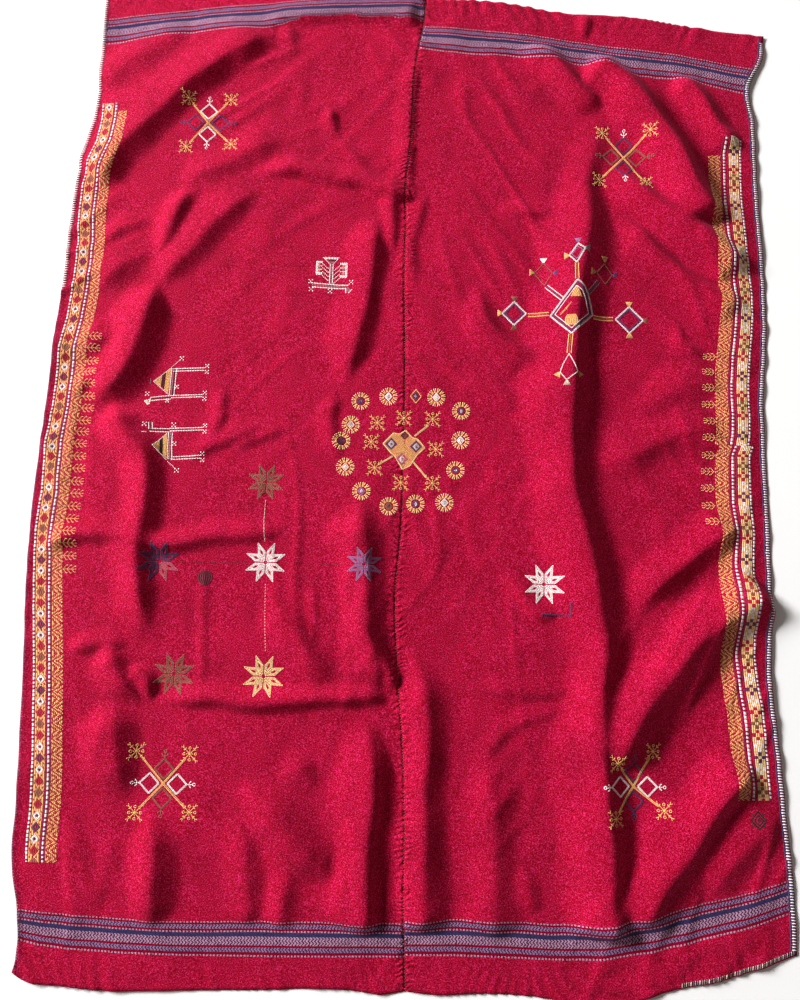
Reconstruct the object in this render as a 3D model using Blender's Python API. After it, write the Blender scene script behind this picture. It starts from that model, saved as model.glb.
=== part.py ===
"""A hand-embroidered wool shawl, laid face up on the floor with the folds that it was put down in.

Two loom widths of crimson wool lie side by side and are joined edge to edge by a hand-sewn centre
seam. They are the only pieces that are cut and sewn, so each is one solid: a thin wall of cloth whose
underside is flat on the floor between the folds. +Y runs along the shawl from its near end to its far
end, +X runs across it, and the origin is on the floor under the middle of its box. Metres throughout.
"""

from typing import NamedTuple

import bmesh
import bpy
import numpy as np

# The cloth
WALL = 0.002  # the wool with the embroidery's backing thread, pressed flat
SEAM_GAP = 0.0003  # between the two selvedges at the centre seam
SEAM_NEAR = -0.942  # where the seam starts, along the shawl
SEAM_FAR = 0.956  # where the left loom width ends at the seam
COLUMNS = 28  # across one loom width, about 23 mm each
LEFT_ROWS = 86  # along the left one, about 22 mm each
RIGHT_ROWS = 83  # the right one was sewn on three rows short of it
ROW = (SEAM_FAR - SEAM_NEAR) / LEFT_ROWS
CREST_STEPS = 40  # straight stretches that stand for one fold's crest
SLOPE_STEP = 0.002  # how far apart two heights are read to find the cloth's slope

# Crimson wool, dry and matt, with a little nap
WOOL_COLOUR = (0.50, 0.004, 0.036, 1.0)
WOOL_ROUGHNESS = 0.92
WOOL_SHEEN = 0.35


class Section(NamedTuple):
    """Where the long edges and the seam lie, read straight across the shawl."""

    along: float
    left_edge: float
    seam: float
    right_edge: float


SECTIONS = (
    Section(-0.950, -0.632, 0.018, 0.660),
    Section(-0.900, -0.625, 0.016, 0.662),
    Section(-0.840, -0.631, 0.013, 0.664),
    Section(-0.760, -0.649, 0.011, 0.663),
    Section(-0.660, -0.651, 0.009, 0.656),
    Section(-0.560, -0.656, 0.003, 0.650),
    Section(-0.425, -0.664, -0.010, 0.640),
    Section(-0.310, -0.673, -0.018, 0.646),
    Section(-0.170, -0.677, -0.011, 0.648),
    Section(-0.020, -0.673, -0.011, 0.647),
    Section(0.080, -0.669, -0.012, 0.647),
    Section(0.180, -0.667, -0.015, 0.656),
    Section(0.280, -0.661, -0.019, 0.659),
    Section(0.400, -0.660, -0.020, 0.656),
    Section(0.510, -0.653, -0.021, 0.652),
    Section(0.560, -0.643, -0.015, 0.652),
    Section(0.640, -0.632, -0.012, 0.651),
    Section(0.715, -0.632, -0.012, 0.645),
    Section(0.775, -0.632, -0.006, 0.672),
    Section(0.840, -0.633, 0.004, 0.677),
    Section(0.960, -0.634, 0.002, 0.678),
)


class EndPoint(NamedTuple):
    """One point of an end of a loom width: how far across it is, and how far along."""

    across: float
    along: float


LEFT_NEAR_END = (
    EndPoint(-0.632, -0.932),
    EndPoint(-0.615, -0.942),
    EndPoint(-0.550, -0.951),
    EndPoint(-0.467, -0.956),
    EndPoint(-0.377, -0.953),
    EndPoint(-0.235, -0.948),
    EndPoint(-0.073, -0.943),
    EndPoint(-0.015, -0.948),
    EndPoint(0.018, SEAM_NEAR),
)
LEFT_FAR_END = (
    EndPoint(-0.634, 0.889),
    EndPoint(-0.490, 0.909),
    EndPoint(-0.350, 0.927),
    EndPoint(-0.189, 0.943),
    EndPoint(0.002, SEAM_FAR),
)
RIGHT_NEAR_END = (
    EndPoint(0.018, SEAM_NEAR),
    EndPoint(0.067, -0.946),
    EndPoint(0.141, -0.942),
    EndPoint(0.240, -0.945),
    EndPoint(0.281, -0.951),
    EndPoint(0.404, -0.944),
    EndPoint(0.437, -0.933),
    EndPoint(0.536, -0.910),
    EndPoint(0.660, -0.868),
)
RIGHT_FAR_END = (
    EndPoint(0.002, SEAM_FAR - (LEFT_ROWS - RIGHT_ROWS) * ROW),
    EndPoint(0.164, 0.884),
    EndPoint(0.274, 0.867),
    EndPoint(0.394, 0.862),
    EndPoint(0.553, 0.840),
    EndPoint(0.678, 0.826),
)


class Fold(NamedTuple):
    """A soft ridge. Its crest is given from the far or right end to the near or left one, so that
    the lee side, which is the steeper one, is on the traveller's left."""

    name: str
    crest: tuple
    height: float
    windward: float  # how wide the gentle side is
    lee: float  # how wide the steep side is
    start: float  # over what length the crest rises at its first point
    end: float  # and falls at its last one


FOLDS = (
    Fold("far_left_corner", ((-0.27, 0.81), (-0.38, 0.745), (-0.47, 0.66), (-0.545, 0.58), (-0.62, 0.46)),
         0.024, 0.075, 0.045, 0.08, 0.03),
    Fold("over_the_far_band", ((0.0, 0.838), (-0.09, 0.846), (-0.185, 0.846), (-0.265, 0.832), (-0.33, 0.80)),
         0.010, 0.050, 0.020, 0.02, 0.06),
    Fold("corner_echo_high", ((-0.28, 0.565), (-0.33, 0.54), (-0.39, 0.495)), 0.009, 0.040, 0.028, 0.04, 0.04),
    Fold("corner_echo_left", ((-0.41, 0.475), (-0.45, 0.42), (-0.49, 0.345)), 0.011, 0.035, 0.028, 0.04, 0.04),
    Fold("corner_echo_low", ((-0.32, 0.465), (-0.40, 0.365), (-0.475, 0.265)), 0.016, 0.050, 0.035, 0.05, 0.04),
    Fold("left_lap_high", ((-0.486, 0.285), (-0.50, 0.17), (-0.536, 0.085), (-0.585, 0.04)),
         0.021, 0.055, 0.034, 0.05, 0.03),
    Fold("left_lap_low", ((-0.545, 0.045), (-0.52, -0.01), (-0.486, -0.055), (-0.472, -0.14), (-0.484, -0.23),
                          (-0.46, -0.32), (-0.442, -0.40)), 0.018, 0.040, 0.030, 0.03, 0.05),
    Fold("left_border_high", ((-0.49, 0.35), (-0.55, 0.305), (-0.605, 0.25)), 0.008, 0.040, 0.030, 0.05, 0.04),
    Fold("left_border_low", ((-0.52, 0.20), (-0.58, 0.155), (-0.64, 0.115)), 0.008, 0.040, 0.030, 0.05, 0.04),
    Fold("left_hook", ((-0.52, -0.385), (-0.485, -0.445), (-0.445, -0.50)), 0.012, 0.045, 0.025, 0.03, 0.04),
    Fold("left_blister", ((-0.50, -0.48), (-0.487, -0.575), (-0.47, -0.67)), 0.016, 0.060, 0.038, 0.04, 0.05),
    Fold("left_hem_drop", ((-0.42, -0.66), (-0.407, -0.75), (-0.403, -0.86)), 0.018, 0.045, 0.038, 0.05, 0.03),
    Fold("storage_crease_upper", ((-0.20, -0.183), (-0.335, -0.205), (-0.46, -0.222), (-0.58, -0.205),
                                  (-0.65, -0.235)), 0.007, 0.030, 0.022, 0.05, 0.03),
    Fold("storage_crease_lower", ((-0.02, -0.47), (-0.145, -0.48), (-0.23, -0.493), (-0.35, -0.482),
                                  (-0.44, -0.49)), 0.007, 0.030, 0.022, 0.03, 0.05),
    Fold("beside_seam_far", ((-0.072, 0.435), (-0.083, 0.303), (-0.106, 0.18), (-0.122, 0.08)),
         0.016, 0.045, 0.028, 0.05, 0.05),
    Fold("beside_seam_mid", ((-0.082, -0.11), (-0.073, -0.235), (-0.058, -0.375), (-0.047, -0.47)),
         0.017, 0.045, 0.033, 0.05, 0.03),
    Fold("beside_seam_near", ((-0.053, -0.51), (-0.049, -0.645), (-0.048, -0.86)), 0.019, 0.055, 0.032, 0.04, 0.02),
    Fold("slant_to_seam", ((-0.245, -0.275), (-0.195, -0.365), (-0.105, -0.46)), 0.010, 0.045, 0.028, 0.06, 0.05),
    Fold("slant_near_left", ((-0.27, -0.61), (-0.20, -0.685), (-0.105, -0.77)), 0.011, 0.050, 0.040, 0.06, 0.05),
    Fold("hem_ridge_outer", ((-0.275, -0.64), (-0.258, -0.735), (-0.25, -0.86)), 0.009, 0.040, 0.035, 0.06, 0.02),
    Fold("hem_ridge_inner", ((-0.180, -0.72), (-0.188, -0.79), (-0.195, -0.86)), 0.009, 0.035, 0.030, 0.05, 0.02),
    Fold("far_left_soft", ((-0.44, 0.815), (-0.535, 0.755), (-0.62, 0.665)), 0.008, 0.045, 0.050, 0.05, 0.03),
    Fold("past_the_seam", ((0.0, -0.375), (0.033, -0.445), (0.048, -0.53), (0.046, -0.64), (0.044, -0.86)),
         0.016, 0.038, 0.040, 0.05, 0.02),
    Fold("long_fold", ((0.309, 0.69), (0.332, 0.573), (0.329, 0.468), (0.30, 0.245), (0.288, 0.03), (0.298, -0.098),
                       (0.34, -0.312), (0.350, -0.398), (0.341, -0.52), (0.351, -0.665), (0.362, -0.86)),
         0.024, 0.065, 0.046, 0.08, 0.02),
    Fold("far_right_thin", ((0.18, 0.793), (0.27, 0.765), (0.325, 0.712), (0.348, 0.66)), 0.010, 0.035, 0.022,
         0.04, 0.03),
    Fold("far_right_great", ((0.34, 0.79), (0.431, 0.704), (0.497, 0.60), (0.543, 0.497), (0.585, 0.42)),
         0.026, 0.070, 0.042, 0.05, 0.05),
    Fold("far_right_outer", ((0.50, 0.757), (0.577, 0.676), (0.64, 0.59)), 0.015, 0.040, 0.028, 0.03, 0.03),
    Fold("right_slant_high", ((0.37, 0.547), (0.466, 0.489), (0.55, 0.417), (0.632, 0.35)),
         0.017, 0.055, 0.028, 0.04, 0.03),
    Fold("right_slant_low", ((0.37, 0.413), (0.454, 0.369), (0.547, 0.322), (0.632, 0.273)),
         0.011, 0.045, 0.026, 0.04, 0.03),
    Fold("right_soft_high", ((0.60, 0.118), (0.50, 0.091), (0.40, 0.045)), 0.007, 0.045, 0.040, 0.06, 0.05),
    Fold("right_soft_low", ((0.60, 0.035), (0.465, 0.0), (0.345, -0.06)), 0.010, 0.045, 0.045, 0.06, 0.04),
    Fold("near_right_first", ((0.61, -0.153), (0.523, -0.20), (0.454, -0.256), (0.407, -0.32)),
         0.015, 0.045, 0.032, 0.04, 0.05),
    Fold("near_right_great", ((0.64, -0.268), (0.528, -0.35), (0.438, -0.447), (0.362, -0.585)),
         0.026, 0.050, 0.075, 0.02, 0.04),
    Fold("near_right_long", ((0.60, -0.56), (0.549, -0.618), (0.466, -0.729), (0.395, -0.845)),
         0.020, 0.060, 0.045, 0.05, 0.03),
    Fold("near_right_last", ((0.645, -0.648), (0.576, -0.706), (0.505, -0.785)), 0.009, 0.040, 0.038, 0.03, 0.03),
    Fold("right_curl", ((0.113, 0.295), (0.135, 0.216), (0.18, 0.172), (0.255, 0.135)), 0.009, 0.040, 0.022,
         0.06, 0.04),
    Fold("right_hem_ridge", ((0.132, -0.54), (0.157, -0.64), (0.165, -0.73), (0.167, -0.86)),
         0.010, 0.040, 0.045, 0.07, 0.02),
)


def smooth_through(places, stations, values):
    """Values at the places, on a smooth curve through the stations' values."""
    stations = np.asarray(stations, float)
    values = np.asarray(values, float)
    slopes = np.gradient(values, stations)
    at = np.clip(np.searchsorted(stations, places, side="right") - 1, 0, len(stations) - 2)
    run = stations[at + 1] - stations[at]
    t = np.clip((places - stations[at]) / run, 0.0, 1.0)
    start = (1 + 2 * t) * (1 - t) ** 2 * values[at] + t * (1 - t) ** 2 * run * slopes[at]
    end = t * t * (3 - 2 * t) * values[at + 1] + t * t * (t - 1) * run * slopes[at + 1]
    return start + end


def edge_at(along, column):
    """How far across the left edge, the seam or the right edge lies, at a distance along."""
    stations = [section.along for section in SECTIONS]
    return smooth_through(along, stations, [getattr(section, column) for section in SECTIONS])


def end_at(across, end):
    """How far along an end of a loom width lies, at a distance across."""
    return smooth_through(across, [point.across for point in end], [point.along for point in end])


def ease(t):
    """From 0 to 1 with a level start and finish."""
    t = np.clip(t, 0.0, 1.0)
    return t * t * (3 - 2 * t)


def crest_points(fold):
    """The fold's crest as an even run of points on a smooth curve, with the distance along it."""
    knots = np.array(fold.crest)
    chords = np.hypot(*np.diff(knots, axis=0).T)
    stations = np.concatenate(([0.0], np.cumsum(chords)))
    travelled = np.linspace(0.0, stations[-1], CREST_STEPS + 1)
    points = np.stack([smooth_through(travelled, stations, knots[:, axis]) for axis in (0, 1)], axis=1)
    return points, travelled


def fold_height(fold, x, y):
    """How high this fold lifts the cloth at the points x, y."""
    points, travelled = crest_points(fold)
    nearest = np.full(x.shape, np.inf)
    leeward = np.zeros(x.shape)
    place = np.zeros(x.shape)
    for start, end, begun, done in zip(points[:-1], points[1:], travelled[:-1], travelled[1:]):
        run = end - start
        length = np.hypot(*run)
        share = np.clip(((x - start[0]) * run[0] + (y - start[1]) * run[1]) / length**2, 0.0, 1.0)
        off_x = x - start[0] - share * run[0]
        off_y = y - start[1] - share * run[1]
        away = np.hypot(off_x, off_y)
        closer = away < nearest
        nearest = np.where(closer, away, nearest)
        leeward = np.where(closer, run[0] * off_y - run[1] * off_x, leeward)
        place = np.where(closer, begun + share * (done - begun), place)
    width = np.where(leeward > 0, fold.lee, fold.windward)
    across = np.clip(nearest / width, 0.0, 1.0)
    risen = ease(place / fold.start) * ease((travelled[-1] - place) / fold.end)
    return fold.height * risen * (1 - across**2) ** 2


def height(x, y):
    """The height of the cloth's underside. Where folds meet, they merge and don't pile up."""
    return np.sqrt(sum(fold_height(fold, x, y) ** 2 for fold in FOLDS))


def steepness(x, y):
    """How much longer the cloth is than its plan, along its steepest slope."""
    level = height(x, y)
    rise_x = (height(x + SLOPE_STEP, y) - level) / SLOPE_STEP
    rise_y = (height(x, y + SLOPE_STEP) - level) / SLOPE_STEP
    return np.sqrt(1 + rise_x**2 + rise_y**2)


def plan_of_left(u, v):
    """Where a point of the left loom width lies, u across from its outer edge and v along, 0 to 1."""
    near = end_at(LEFT_NEAR_END[0].across * (1 - u) + LEFT_NEAR_END[-1].across * u, LEFT_NEAR_END)
    far = end_at(LEFT_FAR_END[0].across * (1 - u) + LEFT_FAR_END[-1].across * u, LEFT_FAR_END)
    y = near + (far - near) * v
    outer = edge_at(y, "left_edge")
    inner = edge_at(y, "seam") - SEAM_GAP / 2
    return outer + (inner - outer) * u, y


def plan_of_right(u, v):
    """Where a point of the right loom width lies, u across from the seam and v along, 0 to 1."""
    near = end_at(RIGHT_NEAR_END[0].across * (1 - u) + RIGHT_NEAR_END[-1].across * u, RIGHT_NEAR_END)
    far = end_at(RIGHT_FAR_END[0].across * (1 - u) + RIGHT_FAR_END[-1].across * u, RIGHT_FAR_END)
    y = near + (far - near) * v
    inner = edge_at(y, "seam") + SEAM_GAP / 2
    outer = edge_at(y, "right_edge")
    return inner + (outer - inner) * u, y


def wool():
    """The crimson wool's finish."""
    material = bpy.data.materials.new("crimson_wool")
    material.use_nodes = True
    finish = material.node_tree.nodes["Principled BSDF"].inputs
    finish["Base Color"].default_value = WOOL_COLOUR
    finish["Roughness"].default_value = WOOL_ROUGHNESS
    finish["Sheen Weight"].default_value = WOOL_SHEEN
    material.diffuse_color = WOOL_COLOUR
    return material


def loom_width(name, plan, rows, parent):
    """One loom width of cloth as a closed wall: its underside follows the folds, and its face is the
    same sheet raised by the wall's thickness, so the sides stand upright at the seam."""
    bm = bmesh.new()
    bmesh.ops.create_grid(bm, x_segments=COLUMNS, y_segments=rows, size=0.5)
    flat = np.array([vertex.co for vertex in bm.verts])
    x, y = plan(flat[:, 0] + 0.5, flat[:, 1] + 0.5)
    for vertex, place in zip(bm.verts, zip(x, y, height(x, y))):
        vertex.co = place
    bmesh.ops.triangulate(bm, faces=bm.faces, quad_method="SHORT_EDGE")
    raised = bmesh.ops.extrude_face_region(bm, geom=bm.faces[:])["geom"]
    face_side = [piece for piece in raised if isinstance(piece, bmesh.types.BMVert)]
    x, y = np.array([vertex.co[:2] for vertex in face_side]).T
    for vertex, stretch in zip(face_side, steepness(x, y)):
        vertex.co.z += WALL * stretch
    bmesh.ops.recalc_face_normals(bm, faces=bm.faces)
    mesh = bpy.data.meshes.new(name)
    bm.to_mesh(mesh)
    bm.free()
    mesh.materials.append(wool())
    mesh.shade_smooth()
    mesh.set_sharp_from_angle(angle=np.radians(50))
    piece = bpy.data.objects.new(name, mesh)
    piece.parent = parent
    bpy.context.collection.objects.link(piece)
    return piece


def build():
    for leftover in list(bpy.data.objects):
        bpy.data.objects.remove(leftover)
    shawl = bpy.data.objects.new("shawl", None)
    bpy.context.collection.objects.link(shawl)
    loom_width("panel_left", plan_of_left, LEFT_ROWS, shawl)
    loom_width("panel_right", plan_of_right, RIGHT_ROWS, shawl)


build()
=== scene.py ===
# %% [markdown]
# # An embroidered wool shawl, laid flat
#
# The shawl is two loom widths of crimson wool joined by a hand-sewn centre seam. It lies face up on the
# floor with the soft folds it was put down in. A woven stripe band crosses it near each end. Both long
# edges carry a gold embroidered border, and the field between them is worked with crosses, stars,
# a round medallion and small animals.
#
# The packed solids fix the size and the main folds. This file lays finer cloth on the same form and then
# sews every stitch onto it, so that the pattern follows the cloth from any side.

import math
import random
from typing import NamedTuple

import bmesh
import bpy
import numpy as np
from mathutils import Matrix, Vector
from mathutils.bvhtree import BVHTree
from mathutils.noise import noise


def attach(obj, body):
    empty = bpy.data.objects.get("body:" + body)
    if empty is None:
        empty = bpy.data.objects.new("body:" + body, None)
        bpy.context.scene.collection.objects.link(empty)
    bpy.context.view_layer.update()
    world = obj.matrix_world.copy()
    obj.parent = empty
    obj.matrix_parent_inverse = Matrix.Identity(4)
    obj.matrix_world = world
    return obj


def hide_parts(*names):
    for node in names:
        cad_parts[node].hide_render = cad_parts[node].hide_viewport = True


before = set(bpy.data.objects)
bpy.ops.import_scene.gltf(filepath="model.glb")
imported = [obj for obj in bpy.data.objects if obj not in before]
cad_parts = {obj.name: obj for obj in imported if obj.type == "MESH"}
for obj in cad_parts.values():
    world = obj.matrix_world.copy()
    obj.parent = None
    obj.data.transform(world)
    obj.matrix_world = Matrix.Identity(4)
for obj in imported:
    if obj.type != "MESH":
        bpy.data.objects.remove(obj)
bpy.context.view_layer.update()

# %% [markdown]
# ## Camera
#
# The shawl was seen from almost straight above, from the side of its near end, so its far end looks
# narrower. A camera can be aimed with a constraint or simply turned. Here it is turned, because only
# two small angles are needed. The lens gives the view an image plane as wide as the camera's height.

# %% Camera over the shawl
CAMERA_PLACE = (-0.0085, -0.3533, 1.4257)
CAMERA_TILT = math.radians(9.065)  # away from straight down, towards the far end
CAMERA_TURN = math.radians(1.75)
LENS = 28.8


def place_in_scene(name, data):
    """A new object that stands in the scene."""
    made = bpy.data.objects.new(name, data)
    bpy.context.collection.objects.link(made)
    return made


camera = place_in_scene("camera", bpy.data.cameras.new("camera"))
camera.data.lens = LENS
camera.location = CAMERA_PLACE
camera.rotation_euler = (CAMERA_TILT, 0, CAMERA_TURN)
bpy.context.scene.camera = camera
print("camera", CAMERA_PLACE)

# %% [markdown]
# ## Materials from nodes
#
# Every finish here is built from shader nodes. One small helper adds a node and fills its sockets, which
# keeps each material short enough to read. Colours are written as they look on a screen, 0 to 255, and
# turned into the light values that Blender works in.


# %% Helpers for colours and nodes
def seen(red, green, blue):
    """A colour as it looks on a screen, as light values."""
    share = np.array([red, green, blue]) / 255
    light = np.where(share <= 0.04045, share / 12.92, ((share + 0.055) / 1.055) ** 2.4)
    return (*light.tolist(), 1.0)


def feed(tree, value, socket):
    """Give a socket a constant, or another node's output."""
    if isinstance(value, bpy.types.NodeSocket):
        tree.links.new(value, socket)
    else:
        socket.default_value = value


def add_node(tree, kind, sockets=None, **settings):
    """A new node. A socket's value is a number, a colour or another node's output."""
    node = tree.nodes.new(kind)
    for setting, value in settings.items():
        setattr(node, setting, value)
    for name, value in (sockets or {}).items():
        feed(tree, value, node.inputs[name])
    return node


def calculate(tree, operation, *values):
    """The output of a Math node on one to three values."""
    return add_node(tree, "ShaderNodeMath", dict(enumerate(values)), operation=operation).outputs[0]


def blend_colour(tree, way, share, first, second):
    """The output of a colour Mix node."""
    node = add_node(tree, "ShaderNodeMix", data_type="RGBA", blend_type=way)
    for place, value in ((0, share), (6, first), (7, second)):
        feed(tree, value, node.inputs[place])
    return node.outputs[2]


def grain_of(tree, place, scale, detail=2.0, roughness=0.5):
    """A Noise node's output at the places given."""
    sockets = {"Vector": place, "Scale": scale, "Detail": detail, "Roughness": roughness}
    return add_node(tree, "ShaderNodeTexNoise", sockets).outputs["Fac"]


def spread(tree, value, low, high, to_low=0.0, to_high=1.0):
    """A value carried from one range to another, and held at its ends."""
    sockets = {"Value": value, "From Min": low, "From Max": high, "To Min": to_low, "To Max": to_high}
    return add_node(tree, "ShaderNodeMapRange", sockets).outputs["Result"]


def new_material(name, **finish):
    """A material, its node tree and its Principled BSDF, whose constant sockets are set here."""
    material = bpy.data.materials.new(name)
    material.use_nodes = True
    shader = material.node_tree.nodes["Principled BSDF"]
    for socket, value in finish.items():
        shader.inputs[socket.replace("_", " ")].default_value = value
    return material, material.node_tree, shader


print("half bright on a screen, as light:", round(seen(128, 128, 128)[0], 3))

# %% [markdown]
# ## Floor and light
#
# The shawl lies on a plain pale floor. Its folds read because soft light comes in low from beyond the
# far left corner, while the rest of the room gives only a weak fill. One lamp alone would either light
# the whole shawl the same or leave half the floor dark. So two share one direction: a sun lamp with
# a wide disc, which is even all over, and a broad round lamp, whose light falls off towards the near
# right corner. The room is a gradient: pale near the horizon, darker overhead.

# %% Pale floor
FLOOR_HALF = 9.0


def mesh_of(bm, name, material=None):
    """A mesh made of a finished bmesh, in its material."""
    mesh = bpy.data.meshes.new(name)
    bm.to_mesh(mesh)
    bm.free()
    if material:
        mesh.materials.append(material)
    return mesh


floor_material, tree, shader = new_material("pale_floor", Roughness=0.85)
speckle = grain_of(tree, add_node(tree, "ShaderNodeTexCoord").outputs["Object"], 6.0, 3.0)
pale = blend_colour(tree, "MIX", speckle, seen(251, 251, 250), seen(254, 254, 254))
tree.links.new(pale, shader.inputs["Base Color"])
bm = bmesh.new()
bmesh.ops.create_grid(bm, x_segments=2, y_segments=2, size=FLOOR_HALF)
floor = place_in_scene("floor", mesh_of(bm, "floor", floor_material))
print("floor", 2 * FLOOR_HALF, "m wide")

# %% Two key lamps and the room
KEY_FROM = Vector((-1.0, 0.42, 0.50)).normalized()  # which way the light is, seen from the shawl
SUN_STRENGTH = 4.3
SUN_DISC = math.radians(15)
LAMP_AWAY = 3.6
LAMP_WIDE = 0.95
LAMP_POWER = 150.0  # watts
ROOM_LOW = (0.86, 0.86, 0.86, 1.0)
ROOM_HIGH = (0.086, 0.066, 0.056, 1.0)
HORIZON = (0.16, 0.45)  # how high the pale part of the room ends and the dark part starts

sun = place_in_scene("sun", bpy.data.lights.new("sun", "SUN"))
sun.data.energy = SUN_STRENGTH
sun.data.angle = SUN_DISC
lamp = place_in_scene("lamp", bpy.data.lights.new("lamp", "AREA"))
lamp.data.shape = "DISK"
lamp.data.size = LAMP_WIDE
lamp.data.energy = LAMP_POWER
lamp.location = KEY_FROM * LAMP_AWAY
for light in (sun, lamp):
    light.rotation_euler = KEY_FROM.to_track_quat("Z", "Y").to_euler()

room = bpy.data.worlds.new("room")
room.use_nodes = True
tree = room.node_tree
facing = add_node(tree, "ShaderNodeTexCoord").outputs["Generated"]
upward = add_node(tree, "ShaderNodeSeparateXYZ", {"Vector": facing}).outputs["Z"]
sky = blend_colour(tree, "MIX", spread(tree, upward, *HORIZON), ROOM_LOW, ROOM_HIGH)
tree.links.new(sky, tree.nodes["Background"].inputs["Color"])
bpy.context.scene.world = room
bpy.context.scene.view_settings.view_transform = "Standard"
print("lamp", LAMP_AWAY, "m away")

# %% [markdown]
# ## The outline of the cloth
#
# Nothing about a hand-woven shawl is quite straight, so its edges are smooth curves through a few
# places. One table gives the two long edges and the seam, and four short ones give the ends of the two
# loom widths. A lattice could bend a straight sheet the same way, but a table says where each edge is.

# %% Edges and ends of the two loom widths
SEAM_GAP = 0.0003  # between the two selvedges
SEAM_NEAR = -0.942  # where the seam starts, along the shawl
SEAM_FAR = 0.956  # where the left loom width ends at the seam
RIGHT_SHORT = 0.0662  # how far short of that the right loom width ends


class Section(NamedTuple):
    """Where the long edges and the seam lie, read straight across the shawl."""

    along: float
    left_edge: float
    seam: float
    right_edge: float


SECTIONS = [Section(*row) for row in (
    (-0.950, -0.632, 0.018, 0.660),
    (-0.900, -0.625, 0.016, 0.662),
    (-0.840, -0.631, 0.013, 0.664),
    (-0.760, -0.649, 0.011, 0.663),
    (-0.660, -0.651, 0.009, 0.656),
    (-0.560, -0.656, 0.003, 0.650),
    (-0.425, -0.664, -0.010, 0.640),
    (-0.310, -0.673, -0.018, 0.646),
    (-0.170, -0.677, -0.011, 0.648),
    (-0.020, -0.673, -0.011, 0.647),
    (0.080, -0.669, -0.012, 0.647),
    (0.180, -0.667, -0.015, 0.656),
    (0.280, -0.661, -0.019, 0.659),
    (0.400, -0.660, -0.020, 0.656),
    (0.510, -0.653, -0.021, 0.652),
    (0.560, -0.643, -0.015, 0.652),
    (0.640, -0.632, -0.012, 0.651),
    (0.715, -0.632, -0.012, 0.645),
    (0.775, -0.632, -0.006, 0.672),
    (0.840, -0.633, 0.004, 0.677),
    (0.960, -0.634, 0.002, 0.678),
)]


# The ends of the loom widths, as pairs of a distance across and a distance along.
LEFT_NEAR_END = (
    (-0.632, -0.932), (-0.615, -0.942), (-0.550, -0.951), (-0.467, -0.956), (-0.377, -0.953),
    (-0.235, -0.948), (-0.073, -0.943), (-0.015, -0.948), (0.018, SEAM_NEAR),
)
LEFT_FAR_END = ((-0.634, 0.889), (-0.490, 0.909), (-0.350, 0.927), (-0.189, 0.943), (0.002, SEAM_FAR))
RIGHT_NEAR_END = (
    (0.018, SEAM_NEAR), (0.067, -0.946), (0.141, -0.942), (0.240, -0.945), (0.281, -0.951),
    (0.404, -0.944), (0.437, -0.933), (0.536, -0.910), (0.660, -0.868),
)
RIGHT_FAR_END = (
    (0.002, SEAM_FAR - RIGHT_SHORT), (0.164, 0.884), (0.274, 0.867), (0.394, 0.862), (0.553, 0.840),
    (0.678, 0.826),
)
print(len(SECTIONS), "sections of the outline")

# %% [markdown]
# ## The folds
#
# Cloth that was kept folded and then laid out keeps some soft ridges. Each one has a crest line,
# a height, and a gentle and a steep side. Cloth simulation would make folds too, but not these ones,
# so they are listed one by one: the large folds first, where the solids have them, and then the small
# creases that only the thin cloth shows.

# %% The large folds
class Fold(NamedTuple):
    """A soft ridge. Its crest is given from the far or right end to the near or left one, so that
    the lee side, which is the steeper one, is on the traveller's left."""

    name: str
    height: float
    windward: float  # how wide the gentle side is
    lee: float  # how wide the steep side is
    start: float  # over what length the crest rises at its first point
    end: float  # and falls at its last one
    crest: tuple


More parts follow.
